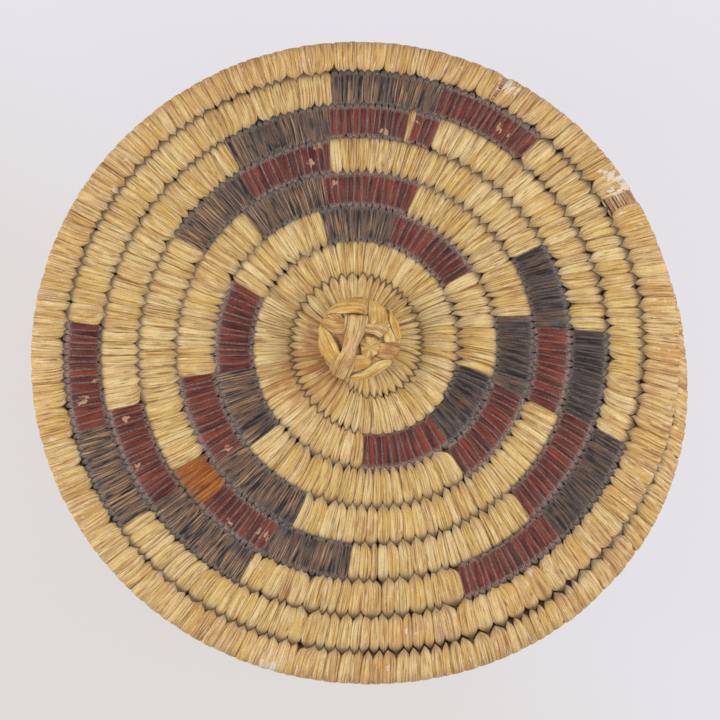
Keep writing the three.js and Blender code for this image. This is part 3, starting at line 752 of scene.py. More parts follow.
leafFinishes = {  # A colour that is laid on has its amount beside it
    # On the natural leaf the dark seam is painted shade in the cracks between stitches and hollow is painted shade
    # under the next round; on the dyed leaf the seam is grey dust; on the aged and strip leaf of the knob the pale
    # seam is a painted highlight along the edges.
    "natural": {
        "name": "driedPalmLeaf", "base": "#E5BD6B", "pale": "#F8DDA2", "deep": "#8A5C30", "fibreAmount": 0.9,
        "crackAmount": 0.65, "tint": ("#D6A674", 0.4), "stain": ("#BC7F48", 0.4), "line": ("#96683C", 0.35),
        "scuff": ("#F3E5D2", 0.45), "seam": "#6E5036", "seamMm": 0.3, "seamAmount": (0.2, 0.85),
        "dustAndShade": ("#95806F", 0.7), "dustAndShadeFrom": 0.38, "hollow": ("#48352B", 0.75), "roughness": 0.6},
    "red": {
        "name": "maroonDyedLeaf", "base": "#4F1918", "pale": "#913E2D", "deep": "#230B0E", "fibreAmount": 0.85,
        "crackAmount": 0.6, "tint": ("#6E4034", 0.6), "line": ("#8E5A48", 0.4), "seam": "#A89C90",
        "seamMm": 0.36, "seamAmount": (0.8, 0.85), "lens": 0.25, "dustAndShade": ("#9C9085", 0.95), "dustAndShadeFrom": 0.22,
        "hollow": ("#332A25", 0.5), "roughness": 0.42},
    "black": {
        "name": "blackDyedLeaf", "base": "#242126", "pale": "#5C504C", "deep": "#0A090C", "fibreAmount": 0.9,
        "crackAmount": 0.7, "tint": ("#84634D", 0.8), "streak": ("#84634D", 0.7), "tan": ("#B58A62", 1),
        "line": ("#DEB084", 0.7), "seam": "#928880", "seamMm": 0.34, "seamAmount": (0.8, 0.85), "lens": 0.2,
        "dustAndShade": ("#8A8078", 0.95), "dustAndShadeFrom": 0.3, "hollow": ("#241E1B", 0.5), "roughness": 0.5},
    "orange": {
        "name": "orangeDyedLeaf", "base": "#AC5C24", "pale": "#CC7E34", "deep": "#5E2C14", "fibreAmount": 0.95,
        "crackAmount": 0.8, "tint": ("#8E4A22", 0.7), "stain": ("#D49A52", 0.2), "line": ("#5A2A14", 0.8),
        "scuff": ("#DDB078", 0.5), "seam": "#8F7658", "seamMm": 0.32, "seamAmount": (0.4, 0.8), "lens": 0.25,
        "dustAndShade": ("#94806C", 0.85), "dustAndShadeFrom": 0.35, "hollow": ("#43301F", 0.8), "roughness": 0.48},
    "aged": {
        "name": "brownedPalmLeaf", "base": "#E0AE66", "pale": "#F0CE90", "deep": "#8E5E32", "fibreAmount": 0.75,
        "crackAmount": 0.4, "tint": ("#BC8246", 0.6), "stain": ("#AA6A38", 0.75), "stained": (0.5, 0.7, 0.6, 1),
        "line": ("#7C4E2C", 0.5), "scuff": ("#EFDFC0", 0.4), "seam": "#EAD7B2", "seamMm": 0.3,
        "seamAmount": (0.4, 0.4), "dustAndShade": ("#7E5C42", 0.6), "dustAndShadeFrom": 0.4, "hollow": ("#4A3428", 0.5),
        "edgeShadeAmount": 0.6, "roughness": 0.58},
}
leafFinishes["strip"] = leafFinishes["aged"] | {
    "name": "splitPalmLeaf", "base": "#F3C363", "pale": "#FAE09A", "deep": "#A8742F", "tint": ("#DCA24E", 0.5),
    "stain": ("#B8763C", 0.65), "seam": "#F6E8C6", "dustAndShade": ("#86603C", 0.6)}
leafFinishes["worn"] = leafFinishes["natural"] | {
    "name": "handledPalmLeaf", "base": "#E2B567", "pale": "#F5D69A", "tint": ("#D8A680", 0.4),
    "stain": ("#C4845A", 0.4), "scuff": ("#F3E2D0", 0.85)}
leafFinishes["stalk"] = leafFinishes["aged"] | {
    "name": "dryGrassStalk", "base": "#CFA878", "pale": "#EFDCBC", "deep": "#875C40", "dustAndShade": ("#8A4F38", 0.6),
    "edgeShadeAmount": 0}
leafGrain = {  # Each pattern's size in mm across and along a leaf, and its detail
    "fibre": (0.4, 20, 3),
    "fine": (0.28, 10, 1),
    "crack": (0.7, 24, 1),
    "thread": (0.45, 30, 0),
    "smudge": (1.6, 4.5, 3),
    "spot": (1.1, 2.8, 4),
    "broad": (0.9, 7, 1),
    "speck": (0.3, 0.48, 2),
}
blotchMm = 11  # between darker parts of the coil
leafMix = {
    "apart": (61, 7),  # how far leaves, and the patterns, lie from each other in the noise
    "ownTone": 0.25,  # how much a leaf's own tone and hue count beside the pattern along it
    "ownHue": 0.3,
    "hueTurn": 7.31,  # sets the hue apart from the tone
    # amount of the painted highlight along the fine fibres
    "shine": 0.6,
    "speck": 0.3,
    "fade": -3.2,  # for each metre to the right
    "seam": (1.35, 0.5),  # where it starts and is full, in widths of it
    "seamWander": 0.6,
    "seamJoint": (0, 0.6),  # how near a joint a leaf's edge takes on the second seamAmount
    "dustAndShadeWander": 0.5,
    "dustAndShadeSpan": 0.55,
    "cut": (0.1, 0.6, 0.85),  # the painted shadow line along a leaf's edge: how near a joint it starts and is full, and its amount there
    "crackDepth": 3.0,
    "fineDepth": 0.5,
    "bumpMm": 0.26,
    "bumpStrength": 0.6,
    "sheen": (0.2, 0.8, -0.08, 0.14),  # two values of the fibre, and what they add to the roughness
    "refraction": 1.47,
    "specular": 0.35,
}
colorFrom = {  # The values of its pattern between which each colour comes in
    "pale": (0.45, 0.85),
    "tint": (0.62, 0.85),
    "fibre": (0.5, 0.36),
    "shine": (0.52, 0.66),
    "crack": (0.03, 0.005),
    "stain": (0.4, 0.65),
    "streak": (0.42, 0.6),
    "tan": (0.57, 0.62),
    "line": (0.66, 0.71),
    "scuff": (0.61, 0.68),
    "speck": (0.5, 0.3),
    # the painted shade on the part under the next round
    "hollow": (0.4, 0.85),
    # the painted shadow line, in mm from a leaf's edge
    "cut": (0.2, 0.05),
}
shareFrom = {  # A pattern's two values, and the shares that they give
    "ribbed": (0.35, 0.6, 0.45, 1),
    "faded": (0.4, 0.68, 0.06, 1),
    "smudged": (0.35, 0.6, 0.3, 1),
    "streaky": (0.42, 0.55, 0, 1),
    "stained": (0.5, 0.7, 0.15, 1),
    "gritty": (0.38, 0.6, 0.2, 1),
}
# Chipped or bleached places on the dyed rows and the rim: their colour, and x, y and radius of each
chips = {
    "red": (("#C9A07A", 0.9), (
        (-84.4, -11.3, 2.2), (-71.5, -16.9, 1.4), (-68.2, -31.7, 1.7), (-40.3, -26.4, 1.7), (-39.9, -48.2, 1.5),
        (-29.4, -52.0, 2.2), (43.2, 72.0, 1.7), (45.8, 70.2, 1.4), (-81.0, -5.2, 1.5), (2.5, 74.6, 1.2),
        (7.5, 71.0, 2.0), (16.9, 74.4, 1.4), (-13.0, 66.2, 1.6), (-14.6, 61.5, 1.4), (-7.9, 55.6, 1.6))),
    "worn": (("#F3E2D0", 0.9), ((80.6, 54.0, 5.0), (45.4, 85.2, 3.8), (77.0, 57.4, 3.2), (-28.0, -92.6, 3.8))),
}
chipEdge = (4, -1.45, -1.6)  # radii by which its outline wanders, and where it starts and is full
# Round the knob the lid turns browner towards its lower left, and painted shade lies round its foot under the knob:
# colour, x and y, and the distances from there at which it starts and is full
knobBrownAndShade = (
    (("#BE7E48", 0.6), (-15.0, -2.5), (16, 7.2)),
    (("#59402B", 0.12), lidShape["hub"], (14.2, 10.5)),
)
# The grass's dark tones are partly painted shade, for the shade down in the cracks between stitches.
grassFinish = {"dark": "#584330", "pale": "#8A6E50", "stemsPerMm": 0.9, "roughness": 0.85}


def awayFrom(tree, position, x, y):
    flat = addNode(tree, "VectorMath", (position, (1, 1, 0)), operation="MULTIPLY")
    return addNode(tree, "VectorMath", (flat, (x * mm, y * mm, 0)), operation="DISTANCE")


def leafMaterial(kind):
    # Dried palm leaf, split and wound tight: fine lengthwise fibres, painted highlights along some of them, a low
    # sheen where it is worn smooth, grey dust pressed into the joints and painted shade there.
    finish = leafFinishes[kind]
    material = newMaterial(finish["name"])
    tree = material.node_tree
    color = linearColor(finish["base"])

    def lay(name, pattern, layer=None, span=None, where=None):
        # Lays a colour over the ones before it, where a pattern goes from its first to its second value.
        nonlocal color
        hexText, amount = layer or finish.get(name, ("", 0))
        if not amount:
            return
        share = addNode(tree, "MapRange", (pattern, *(span or colorFrom[name]), 0, amount),
                        interpolation_type="SMOOTHSTEP")
        if where:
            share = addNode(tree, "Math", (share, where), operation="MULTIPLY")
        color = addNode(tree, "Mix", {0: share, 6: color, 7: linearColor(hexText)}, data_type="RGBA")

    place, look = [addNode(tree, "Attribute", attribute_name=name).outputs["Vector"]
                   for name in ("leafPlace", "leafLook")]
    rim, inner, outer = addNode(tree, "SeparateXYZ", (look,)).outputs
    identity = addNode(tree, "SeparateXYZ", (place,)).outputs[2]
    joint = addNode(tree, "Math", (inner, outer), operation="MAXIMUM")
    position = addNode(tree, "NewGeometry")
    grain, (leavesApart, patternsApart) = {}, leafMix["apart"]
    for seed, (name, (acrossMm, alongMm, detail)) in enumerate(leafGrain.items()):
        vector = addNode(tree, "VectorMath", (place, (1 / acrossMm, 1 / alongMm, leavesApart),
                                              (0, 0, patternsApart * seed)), operation="MULTIPLY_ADD")
        grain[name] = addNode(tree, "TexNoise", {"Vector": vector, "Scale": 1, "Detail": detail, "Roughness": 0.55})
    blotch = addNode(tree, "TexNoise", {"Vector": position, "Scale": 1 / (blotchMm * mm), "Detail": 2})

    # Each leaf has its own tone and hue, and fibres and cracks run along it.
    tone = addNode(tree, "Math", (identity, leafMix["ownTone"], grain["broad"]), operation="MULTIPLY_ADD")
    lay("pale", tone, (finish["pale"], 1))
    hue = addNode(tree, "Math", (identity, leafMix["hueTurn"]), operation="MULTIPLY")
    hue = addNode(tree, "Math", (hue,), operation="FRACT")
    hue = addNode(tree, "Math", (hue, leafMix["ownHue"], grain["smudge"]), operation="MULTIPLY_ADD")
    lay("tint", hue)
    ribbed = addNode(tree, "MapRange", (grain["smudge"], *shareFrom["ribbed"]))
    lay("fibre", grain["fibre"], (finish["deep"], finish["fibreAmount"]), where=ribbed)
    # Paler streaks along the fine fibres are a painted highlight.
    lay("shine", grain["fine"], (finish["pale"], leafMix["shine"]))
    crack = addNode(tree, "Math", (grain["crack"], 0.5), operation="SUBTRACT")
    crack = addNode(tree, "Math", (crack,), operation="ABSOLUTE")
    lay("crack", crack, (finish["deep"], finish["crackAmount"]))
    stained = addNode(tree, "MapRange", (blotch, *finish.get("stained", shareFrom["stained"])))
    lay("stain", grain["smudge"], where=stained)
    threaded = None
    if kind == "black":
        # The lid's left has faded more, where tan streaks show.
        faded = addNode(tree, "SeparateXYZ", (position,))
        faded = addNode(tree, "Math", (faded, leafMix["fade"], blotch), operation="MULTIPLY_ADD")
        threaded = addNode(tree, "MapRange", (faded, *shareFrom["faded"]))
        lay("streak", grain["broad"], where=threaded)
        lay("tan", grain["fine"], where=threaded)
    lay("line", grain["thread"], where=threaded)
    if kind == "natural":
        smudged = addNode(tree, "MapRange", (grain["smudge"], *shareFrom["smudged"]))
        # Browner towards the knob's lower left, and painted shade round the knob's foot.
        for layer, (x, y), (starts, full) in knobBrownAndShade:
            lay("lidStain", awayFrom(tree, position, x, y), layer, (starts * mm, full * mm), smudged)
    streaky = addNode(tree, "MapRange", (grain["fibre"], *shareFrom["streaky"]))
    lay("scuff", grain["spot"], where=streaky)
    chipLayer, chipPlaces = chips.get(kind, (None, ()))
    wander, starts, full = chipEdge
    for x, y, radius in chipPlaces:
        apart = addNode(tree, "Math", (grain["spot"], -wander * radius * mm, awayFrom(tree, position, x, y)),
                        operation="MULTIPLY_ADD")
        lay("chip", apart, chipLayer, (starts * radius * mm, full * radius * mm))
    lay("speck", grain["speck"], (finish["deep"], leafMix["speck"]))

    # Dust and painted shade lie along the edges and towards the ends, and the part under the next round gets the
    # darkest painted shade. A painted shadow line follows a leaf's edge near a joint.
    grit = addNode(tree, "MapRange", (grain["speck"], *shareFrom["gritty"]))
    seamAmount = addNode(tree, "MapRange", (joint, *leafMix["seamJoint"], *finish["seamAmount"]))
    seamAmount = addNode(tree, "Math", (seamAmount, grit), operation="MULTIPLY")
    seamMm, (starts, full) = finish["seamMm"], leafMix["seam"]
    lens = addNode(tree, "Math", (joint, -finish.get("lens", 0), rim), operation="MULTIPLY_ADD")
    lens = addNode(tree, "Math", (grain["smudge"], leafMix["seamWander"] * seamMm, lens), operation="MULTIPLY_ADD")
    lay("seam", lens, (finish["seam"], 1), (starts * seamMm, full * seamMm), seamAmount)
    dustyAndShaded = addNode(tree, "Math", (grain["speck"], leafMix["dustAndShadeWander"], joint), operation="MULTIPLY_ADD")
    lay("dustAndShade", dustyAndShaded, None, (finish["dustAndShadeFrom"], finish["dustAndShadeFrom"] + leafMix["dustAndShadeSpan"]), grit)
    lay("hollow", outer)
    starts, full, amount = leafMix["cut"]
    edge = addNode(tree, "MapRange", (joint, starts, full, finish.get("edgeShadeAmount", 0), amount))
    lay("cut", rim, (finish["hollow"][0], 1), where=edge)

    height = addNode(tree, "Math", (crack, leafMix["crackDepth"], grain["fibre"]), operation="MULTIPLY_ADD")
    height = addNode(tree, "Math", (grain["fine"], leafMix["fineDepth"], height), operation="MULTIPLY_ADD")
    bump = addNode(tree, "Bump", {"Height": height, "Strength": leafMix["bumpStrength"],
                                  "Distance": leafMix["bumpMm"] * mm})
    low, high, smoother, rougher = leafMix["sheen"]
    sheen = addNode(tree, "MapRange", (grain["fibre"], low, high, finish["roughness"] + smoother,
                                       finish["roughness"] + rougher))
    shader = addNode(tree, "BsdfPrincipled", {"Base Color": color, "Roughness": sheen, "Normal": bump,
                                              "IOR": leafMix["refraction"],
                                              "Specular IOR Level": leafMix["specular"]})
    addNode(tree, "OutputMaterial", (shader,))
    return material


def grassMaterial():
    # Bundled dry grass, seen only in the cracks: dull and brown, painted darker as the shade down there.
    material = newMaterial("bundledGrass")
    tree = material.node_tree
    noise = addNode(tree, "TexNoise", {"Vector": addNode(tree, "NewGeometry"),
                                       "Scale": grassFinish["stemsPerMm"] / mm, "Detail": 2})
    color = addNode(tree, "Mix", {0: noise, 6: linearColor(grassFinish["dark"]), 7: linearColor(grassFinish["pale"])},
                    data_type="RGBA")
    shader = addNode(tree, "BsdfPrincipled", {"Base Color": color, "Roughness": grassFinish["roughness"]})
    addNode(tree, "OutputMaterial", (shader,))
    return material


# The lid and the basket

lidPattern = {
    # Phases at which each arm's red block and its black one start, and at which that ends, row by row
    "blocks": (
        ((632, 674.5, 708.5), (755, 793.5, 826.5), (872.5, 911, 943)),
        ((1030, 1064, 1091.5), (1150, 1182, 1211), (1270, 1299.5, 1330)),
        ((1422, 1445.5, 1469.5), (1538.5, 1565, 1589), (1665, 1685, 1707.5)),
        ((1756, 1782, 1804), (1870.5, 1897.5, 1923.5), (1994.5, 2017.5, 2043)),
        ((2093.5, 2117, 2140.5), (2209.5, 2232, 2256), (2335, 2357, 2377.5)),
    ),
    "orange": (1654, 1665),
    "undyed": 1877.7,  # one stitch in a red block
    "lost": ((2547.9, 2550.6), (2581.0, 2582.0)),  # where the leaf is gone
}
wallPattern = {"starts": (1455, 1842), "length": 27, "arms": 3}


def laidAlong(table, blocks, **hub):
    within = coilSizes["sewnWithin"]
    return layStitches(table, table["phase"][0] + within, table["phase"][-1] - within, blocks, **hub)


def sewDyed(table, stitches, named, materials, body, **detail):
    for node, (start, end, kind) in named:
        mask = (stitches["middle"] > start) & (stitches["middle"] < end) & (stitches["kind"] == kind)
        stitchPiece(node.replace("stitches", "leaf"), node, table, chosen(stitches, mask), materials[kind], body,
                    f"{kind}_leaf", **detail)


def buildLid(materials):
    table = lidCoil()
    named = [("lid_orange_stitches", (*lidPattern["orange"], "orange"))]
    for row, arms in enumerate(lidPattern["blocks"]):
        for arm, (red, black, end) in zip("abc", arms):
            named += [(f"lid_red_stitches_{row + 1}{arm}", (red, black, "red")),
                      (f"lid_black_stitches_{row + 1}{arm}", (black, end, "black"))]
    named.sort(key=lambda pair: pair[1])
    lost = [(start, end, "bare") for start, end in lidPattern["lost"]]
    stitches = laidAlong(table, [block for node, block in named] + lost, hasHub=True)
    middle, natural = stitches["middle"], stitches["kind"] == "natural"
    rimEnd = lidShape["endPhase"]
    rim = natural & (middle >= rimEnd - 360) & (middle < rimEnd)
    stitches["kind"][natural & (middle >= rimEnd)] = "skirt"
    stitchPiece("lidLeafStitches", "lid_coil", table, chosen(stitches, natural & (middle < rimEnd - 360)),
                materials["natural"], "lid")
    stitchPiece("rimLeafStitches", "lid_coil", table, chosen(stitches, rim), materials["worn"], "lid")
    stitchPiece("skirtLeafStitches", "lid_skirt_coil", table, chosen(stitches, stitches["kind"] == "skirt"),
                materials["worn"], "lid", detail=(10, 5))
    undyed = np.arange(len(middle)) == np.argmin(np.abs(middle - lidPattern["undyed"]))
    stitchPiece("undyedLeafStitch", None, table, chosen(stitches, undyed), materials["aged"], "lid")
    stitches["kind"][undyed] = "undyed"
    sewDyed(table, stitches, named, materials, "lid")
    bundlePiece("lidBundle", table, materials["grass"], "lid")
    hub = ringTable(*lidShape["hubBundle"], ringEnd, lidShape["hub"], bundleAt(table, 0)["height"])
    bundlePiece("hubBundle", hub, materials["grass"], "lid", inset=0)
    for index, (start, end) in enumerate(lidPattern["lost"]):
        barePiece(f"lidBareStems{index + 1}", table, start, end, materials["stalk"], "lid")
    buildKnob(table["lift"] + knobShape["levelOverCoil"], materials)
    print("lid:", len(middle), "stitches")


def buildBasket(materials):
    low, high = cadSpan("neck_coil")
    neckRadius = (high[0] - low[0]) / 2 - halfThickness
    table, wallStart = wholeBasketCoil(neckRadius)
    named = []
    for row, start in enumerate(wallPattern["starts"]):
        for index, arm in enumerate("abc"[:wallPattern["arms"]]):
            red = wallStart + start + 360 / wallPattern["arms"] * index
            black = red + wallPattern["length"]
            named += [(f"wall_red_stitches_{row + 1}{arm}", (red, black, "red")),
                      (f"wall_black_stitches_{row + 1}{arm}", (black, black + wallPattern["length"], "black"))]
    stitches = laidAlong(table, [block for node, block in named])
    natural = stitches["kind"] == "natural"
    stitchPiece("baseLeafStitches", "base_coil", table, chosen(stitches, natural & (stitches["middle"] < wallStart)),
                materials["natural"], "basket", detail=(9, 5))
    stitchPiece("wallLeafStitches", "wall_coil", table, chosen(stitches, natural & (stitches["middle"] >= wallStart)),
                materials["natural"], "basket", detail=(10, 4))
    sewDyed(table, stitches, named, materials, "basket", detail=(10, 4))
    bundlePiece("wallBundle", table, materials["grass"], "basket")
    start = ringTable(*basketShape["startBundle"], ringEnd)
    bundlePiece("startBundle", start, materials["grass"], "basket", inset=0)
    knot = ringTable(*basketShape["knot"], basketShape["knotEnd"])
    stitchPiece("startKnotLeaf", "base_start_knot", knot, layStitches(knot, 0, 360, []), materials["natural"],
                "basket", detail=(9, 7))
    neck = neckCoil(neckRadius)
    rounds = laidAlong(neck, [])
    stitchPiece("neckLeafStitches", "neck_coil", neck, rounds, materials["natural"], "basket", detail=(8, 6))
    bundlePiece("neckBundle", neck, materials["grass"], "basket")
    print("basket:", len(stitches["middle"]) + len(rounds["middle"]), "stitches")


# The knob: strips of leaf plaited over a domed pad, with their ends drawn down round its neck

knobShape = {
    "radius": 12.0,
    "top": 8.3,  # from the widest level to the crown
    "belly": 5.6,  # the same downwards
    "neck": 5.6,  # its radius
    "levelOverCoil": 18.4,  # of the widest level over the lid coil's own zero
    "footOverCoil": 8.4,
    "lean": 2.6,  # towards +Y
    "turnOver": 0.93,  # share of the radius past which a strip goes on down the side
    "reach": 34.5,  # from the crown down the side to the foot
    "sunk": 0.2,  # the pad under the strips
    "rings": 30,
    "sides": 56,
    "stem": ((3.4, 8.3), (3.4, 2.6), (2.9, 1.7), (1.6, 1.2), (0.05, 1.1)),  # radius and height of its rings
    "fibreAt": (9, 2),  # mm of the leaf's pattern for each radian and each of the stem's rings
    "tone": 0.4,
    # dust and painted shade over the whole pad, which shows between the strips
    "dustAndShade": 0.3,
}
gores = {  # The strips drawn down round the sides
    "count": 13,
    "scatter": 0.15,
    "overlap": 1.12,
    "widths": ((6.5, 0.6), (9, 0.85), (12, 1), (16, 0.98), (20, 0.78), (24, 0.62), (29, 0.5), (34, 0.52)),
    "widthSpread": (0.92, 1.05),
    "layers": (0.1, 0.12),  # the lower one, and the step to the upper one
    "pale": 0.6,  # share of them that isn't browned
}
stripShape = {
    "rows": 44,
    "across": (-1, -0.86, -0.5, 0, 0.5, 0.86, 1),
    "thickness": 0.7,
    "layerMm": 1.35,
    "crown": (0.34, 2.5),  # height of the middle over the sides, and how flat it is
    "waves": (9, 0.09),  # places along a strip, and how far it rises and falls at them
    "twists": (6, 0.14),
    "ribs": (0.05, 9, 5),  # height, how many across, and how far they wander
    "tuckMm": 1.3,  # over which an end goes under the next strip
    "tuckDepth": 0.9,
    "dustAndShadeMm": 2.0,
}
# Each strip's path over the crown as (x, y, width), seen from above, with the layer it lies in
knobStrips = {
    "knobStripTop": ("strip", 0.7, "knob_strip_across_3",
                     [(-10.6, 6.6, 1.4), (-9.3, 7.7, 2.2), (-6.9, 8.9, 3.8), (-3.7, 9.4, 4.8), (-0.2, 9.5, 4.8),
                      (2.6, 8.9, 4.6)]),
    "knobStripLeft": ("aged", 0.5, "knob_strip_across_2",
                      [(-13.4, 5.2, 3.0), (-11.2, 4.7, 3.4), (-9.3, 4.2, 4.2), (-7.0, 3.7, 4.8), (-4.0, 3.7, 4.8),
                       (-1.0, 3.6, 4.0)]),
    "knobStripRight": ("aged", 0.75, None,
                       [(0.6, 3.4, 3.0), (2.4, 3.1, 3.3), (4.8, 2.8, 3.7), (6.6, 1.9, 4.0), (7.9, 0.5, 3.4)]),
    "knobStripUpperRight": ("strip", 0.35, "knob_strip_along_3",
                            [(5.0, 13.4, 4.6), (5.3, 11.2, 5.2), (5.6, 7.8, 6.0), (5.2, 4.4, 5.6), (4.6, 1.6, 4.8)]),
    "knobStripRightUnder": ("strip", 0.3, None,
                            [(8.2, 5.2, 2.4), (8.9, 2.6, 3.8), (9.6, 0.2, 4.6), (9.9, -2.2, 4.6)]),
    "knobStripLowerRight": ("aged", 0.6, "knob_strip_across_1",
                            [(4.6, -3.2, 3.6), (6.4, -3.5, 4.6), (8.9, -3.9, 5.2), (11.2, -4.4, 5.6),
                             (13.6, -5.2, 5.0)]),
    "knobStripRightEdge": ("strip", 0.75, None,
                           [(8.6, 9.6, 1.2), (9.3, 8.1, 2.0), (10.2, 5.2, 3.2), (11.3, 1.8, 2.9), (12.2, -1.4, 1.8)]),
    "knobStripBottomUnder": ("strip", 0.35, None,
                             [(-3.2, -7.4, 5.0), (-1.5, -7.4, 5.0), (1.3, -7.1, 4.6), (4.2, -6.2, 3.0)]),
    "knobStripBottomEdge": ("strip", 0.75, None,
                            [(-3.4, -11.6, 1.2), (-1.6, -11.2, 2.0), (1.0, -10.7, 2.7), (3.6, -9.6, 3.4),
                             (6.2, -8.1, 3.6), (8.9, -7.3, 2.6), (10.4, -7.4, 1.6)]),
    "knobStripLowerLeft": ("strip", 0.8, "knob_strip_along_1",
                           [(-12.0, 4.2, 1.2), (-11.4, 2.9, 2.6), (-10.2, 0.6, 4.4), (-8.9, -2.1, 5.3),
                            (-7.5, -4.8, 5.0), (-5.6, -7.2, 4.0)]),
    "knobStripMiddle": ("aged", 1.15, "knob_strip_along_2",
                        [(-0.6, 7.4, 4.6), (-0.65, 6.6, 6.0), (-0.95, 3.5, 6.2), (-1.7, 0.5, 5.3), (-2.4, -2.1, 4.2),
                         (-2.9, -4.4, 4.4), (-4.3, -7.1, 6.2), (-5.6, -9.9, 6.0), (-6.9, -12.6, 5.0)]),
}
rosette = {
    "x": 3.25,
    "y": -2.5,
    "radius": 3.3,
    "height": 0.9,
    "sunkShare": 0.6,
    "layer": 0.75,
    "rings": 14,
    "sides": 84,
    "folds": (7, 3.5, 0.9),  # how many, how far they twist outwards, and how unevenly they lie
    "foldDepth": 0.22,
    "outline": ((0.09, 3, 1), (0.05, 7, 0)),  # depth, count and turn of its waves
    "crease": (0.12, 11),
    "edge": (0.97, 1.2),  # the share of the radius past which it turns down, and how far
    "fibreAt": 4,  # mm of the leaf's pattern for each radian
    "tone": 0.95,
    # dust and painted shade in the troughs of its folds
    "dustAndShade": 0.9,
}


def smoothPath(points, count):
    points = np.array(points, float)
    steps = np.r_[0, np.cumsum(np.linalg.norm(np.diff(points[:, :2], axis=0), axis=1))]
    tangents = np.gradient(points, steps, axis=0)
    places = np.linspace(0, steps[-1], count)
    index = np.clip(np.searchsorted(steps, places) - 1, 0, len(points) - 2)
    span = (steps[index + 1] - steps[index])[:, None]
    t = (places - steps[index])[:, None] / span
    low, high = points[index], points[index + 1]
    return (low * (2 * t ** 3 - 3 * t ** 2 + 1) + high * (3 * t ** 2 - 2 * t ** 3)
            + span * tangents[index] * (t ** 3 - 2 * t ** 2 + t) + span * tangents[index + 1] * (t ** 3 - t ** 2))


def overKnob(x, y, rise, level):
    # A place seen from above goes to the crown, or on down the side, and rise lifts it off.
    shape = knobShape
    radius, angle = np.hypot(x, y), np.arctan2(y, x)
    edge = shape["turnOver"] * shape["radius"]
    fromTop = np.where(radius < edge, np.arcsin(np.clip(radius, 0, edge) / shape["radius"]),
                       math.asin(shape["turnOver"]) + (radius - edge) / shape["radius"])
    tuck = math.pi - math.asin(shape["neck"] / shape["radius"])
    past = np.clip(fromTop - tuck, 0, None) * shape["radius"]
    fromTop = np.clip(fromTop, 0, tuck)
    depth = np.where(fromTop < math.pi / 2, shape["top"], shape["belly"])
    outRadius, outHeight = depth * np.sin(fromTop), shape["radius"] * np.cos(fromTop)
    length = np.hypot(outRadius, outHeight)
    ring = shape["radius"] * np.sin(fromTop) + rise * np.where(past > 0, 1, outRadius / length)
    height = level + depth * np.cos(fromTop) + rise * np.where(past > 0, 0, outHeight / length) - past
    foot = level - shape["levelOverCoil"] + shape["footOverCoil"]
    height = np.maximum(height, foot)
    lean = shape["lean"] * np.clip((height - foot) / (level - foot), 0, 1)
    return stacked(lidShape["hub"][0] + ring * np.cos(angle), lidShape["hub"][1] + lean + ring * np.sin(angle), height)


def knobStrip(name, path, layer, level, material, tuckEnd=True):
    # A flat strip of leaf with a slight crown and crinkle, closed underneath.
    rows, across = stripShape["rows"], np.array(stripShape["across"])
    line = smoothPath(path, rows)
    direction = np.gradient(line[:, :2], axis=0)
    direction /= np.linalg.norm(direction, axis=1)[:, None]
    share = np.linspace(0, 1, rows)
    wave, twist = [np.interp(share, np.linspace(0, 1, places), rng.normal(0, spread, places))[:, None]
                   for places, spread in (stripShape["waves"], stripShape["twists"])]
    length = np.linalg.norm(np.diff(line[:, :2], axis=0), axis=1).sum()
    dive = 1 - smooth(share * length / stripShape["tuckMm"])
    if tuckEnd:
        dive += 1 - smooth((1 - share) * length / stripShape["tuckMm"])
    height, power = stripShape["crown"]
    crown = (stripShape["layerMm"] * layer + height * (1 - np.abs(across) ** power) + wave + twist * across
             - dive[:, None] * (layer + stripShape["tuckDepth"]))
    ribHeight, ribs, wander = stripShape["ribs"]
    crown = crown + ribHeight * np.sin(across * ribs + wander * wave)
    half = line[:, 2:] / 2 * across
    x = line[:, :1] - direction[:, 1:] * half
    y = line[:, 1:2] + direction[:, :1] * half
    top = overKnob(x, y, crown, level)
    under = overKnob(x, y, crown - stripShape["thickness"], level)[:, ::-1]
    points = np.concatenate([top, under], axis=1)
    columns = points.shape[1]
    rounded = np.tile(np.isin(np.arange(columns), (len(across) - 1, columns - 1), invert=True), rows - 1)
    end = np.arange(columns)
    faces = gridFaces(rows, columns)[:, ::-1].tolist() + [end, end[::-1] + (rows - 1) * columns]
    wholeAcross = np.concatenate([across, across[::-1]])
    place = stacked(np.concatenate([half, half[:, ::-1]], axis=1), share[:, None] * length, rng.random())
    # Dust and painted shade towards both ends, where a strip goes under the next one or down to the foot.
    dustAndShade = np.maximum(1 - share * length / stripShape["dustAndShadeMm"], 1 - (1 - share) * length / stripShape["dustAndShadeMm"])
    look = stacked(line[:, 2:] / 2 * (1 - np.abs(wholeAcross)), dustAndShade.clip(0, 1)[:, None], 0)
    return meshPiece(name, points, faces, material, "lid", np.append(rounded, [False, False]),
                     place, look)


def buildPad(level, material):
    # The pad and its stem, which goes down through the hub and shows under the lid.
    rings, sides = knobShape["rings"], knobShape["sides"]
    perRadian, perRing = knobShape["fibreAt"]
    reach = np.linspace(0, knobShape["reach"], rings)[:, None]
    turn = np.linspace(0, 2 * math.pi, sides, endpoint=False)
    dome = overKnob(reach * np.cos(turn), reach * np.sin(turn), -knobShape["sunk"], level)
    foot = level - knobShape["levelOverCoil"]
    for stemRadius, stemHeight in knobShape["stem"]:
        ring = stacked(lidShape["hub"][0] + stemRadius * np.cos(turn), lidShape["hub"][1] + stemRadius * np.sin(turn),
                       foot + stemHeight)
        dome = np.concatenate([dome, ring[None]])
        reach = np.append(reach, reach[-1:] + perRing, axis=0)
    pad = meshPiece("knobPad", dome, gridFaces(len(dome), sides), material, "lid", True,
                    stacked(turn * perRadian, reach, knobShape["tone"]),
                    stacked(np.ones(dome.shape[:2]), knobShape["dustAndShade"], 0))
    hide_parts("knob_core")


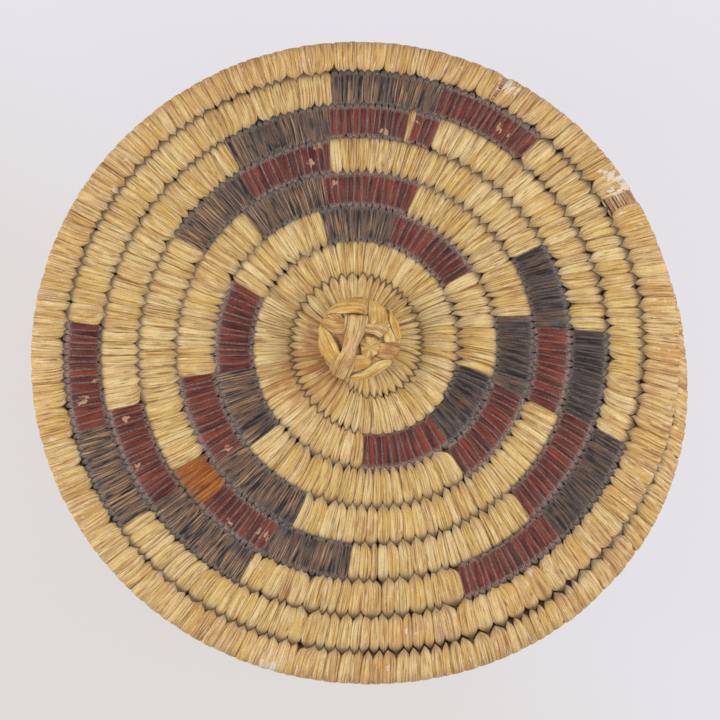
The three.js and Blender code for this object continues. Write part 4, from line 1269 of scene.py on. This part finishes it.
def buildRosette(level, material):
    rings, sides, (folds, twisted, uneven) = rosette["rings"], rosette["sides"], rosette["folds"]
    share = np.linspace(0, 1, rings)[:, None]
    turn = np.linspace(0, 2 * math.pi, sides, endpoint=False)
    fold = np.sin(folds * turn + twisted * share + uneven * np.sin(2 * turn))
    outline = 1 + sum(depth * np.sin(count * turn + turned) for depth, count, turned in rosette["outline"])
    (creaseDepth, creases), (edge, edgeDrop) = rosette["crease"], rosette["edge"]
    rise = (rosette["layer"] + rosette["height"] * np.sqrt(1 - 0.98 * share ** 2)
            - rosette["height"] * rosette["sunkShare"] + rosette["foldDepth"] * fold * share
            + creaseDepth * np.sin(share * creases + turn) - edgeDrop * (share > edge))
    reach = rosette["radius"] * share * outline
    points = overKnob(rosette["x"] + reach * np.cos(turn), rosette["y"] + reach * np.sin(turn), rise, level)
    meshPiece("knobRosette", points, gridFaces(rings, sides), material, "lid", True,
              stacked(turn * rosette["fibreAt"], reach, rosette["tone"]),
              stacked(1.0, np.clip(-fold * share, 0, 1) * rosette["dustAndShade"], 0))


def buildKnob(level, materials):
    buildPad(level, materials["aged"])
    lower, step = gores["layers"]
    for index in range(gores["count"]):
        angle = 2 * math.pi * (index + rng.uniform(-gores["scatter"], gores["scatter"])) / gores["count"]
        wide = 2 * math.pi * knobShape["radius"] / gores["count"] * gores["overlap"]
        path = [(out * math.cos(angle), out * math.sin(angle), wide * share * rng.uniform(*gores["widthSpread"]))
                for out, share in gores["widths"]]
        knobStrip(f"knobGore{index + 1}", path, lower + step * (index % 2), level,
                  materials["strip" if rng.random() < gores["pale"] else "aged"], tuckEnd=False)
    for name, (finish, layer, node, path) in knobStrips.items():
        strip = knobStrip(name, path, layer, level, materials[finish], tuckEnd=name != "knobStripMiddle")
        if node:
            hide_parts(node)
    buildRosette(level, materials["strip"])
    print("knob:", len(knobStrips) + gores["count"], "strips")


setCamera()
setStage()
scene.view_settings.view_transform = "Standard"
print("camera, floor and lamps placed")
materials = {kind: leafMaterial(kind) for kind in leafFinishes}
materials["grass"] = grassMaterial()
print("materials:", ", ".join(material.name for material in materials.values()))
buildLid(materials)
buildBasket(materials)
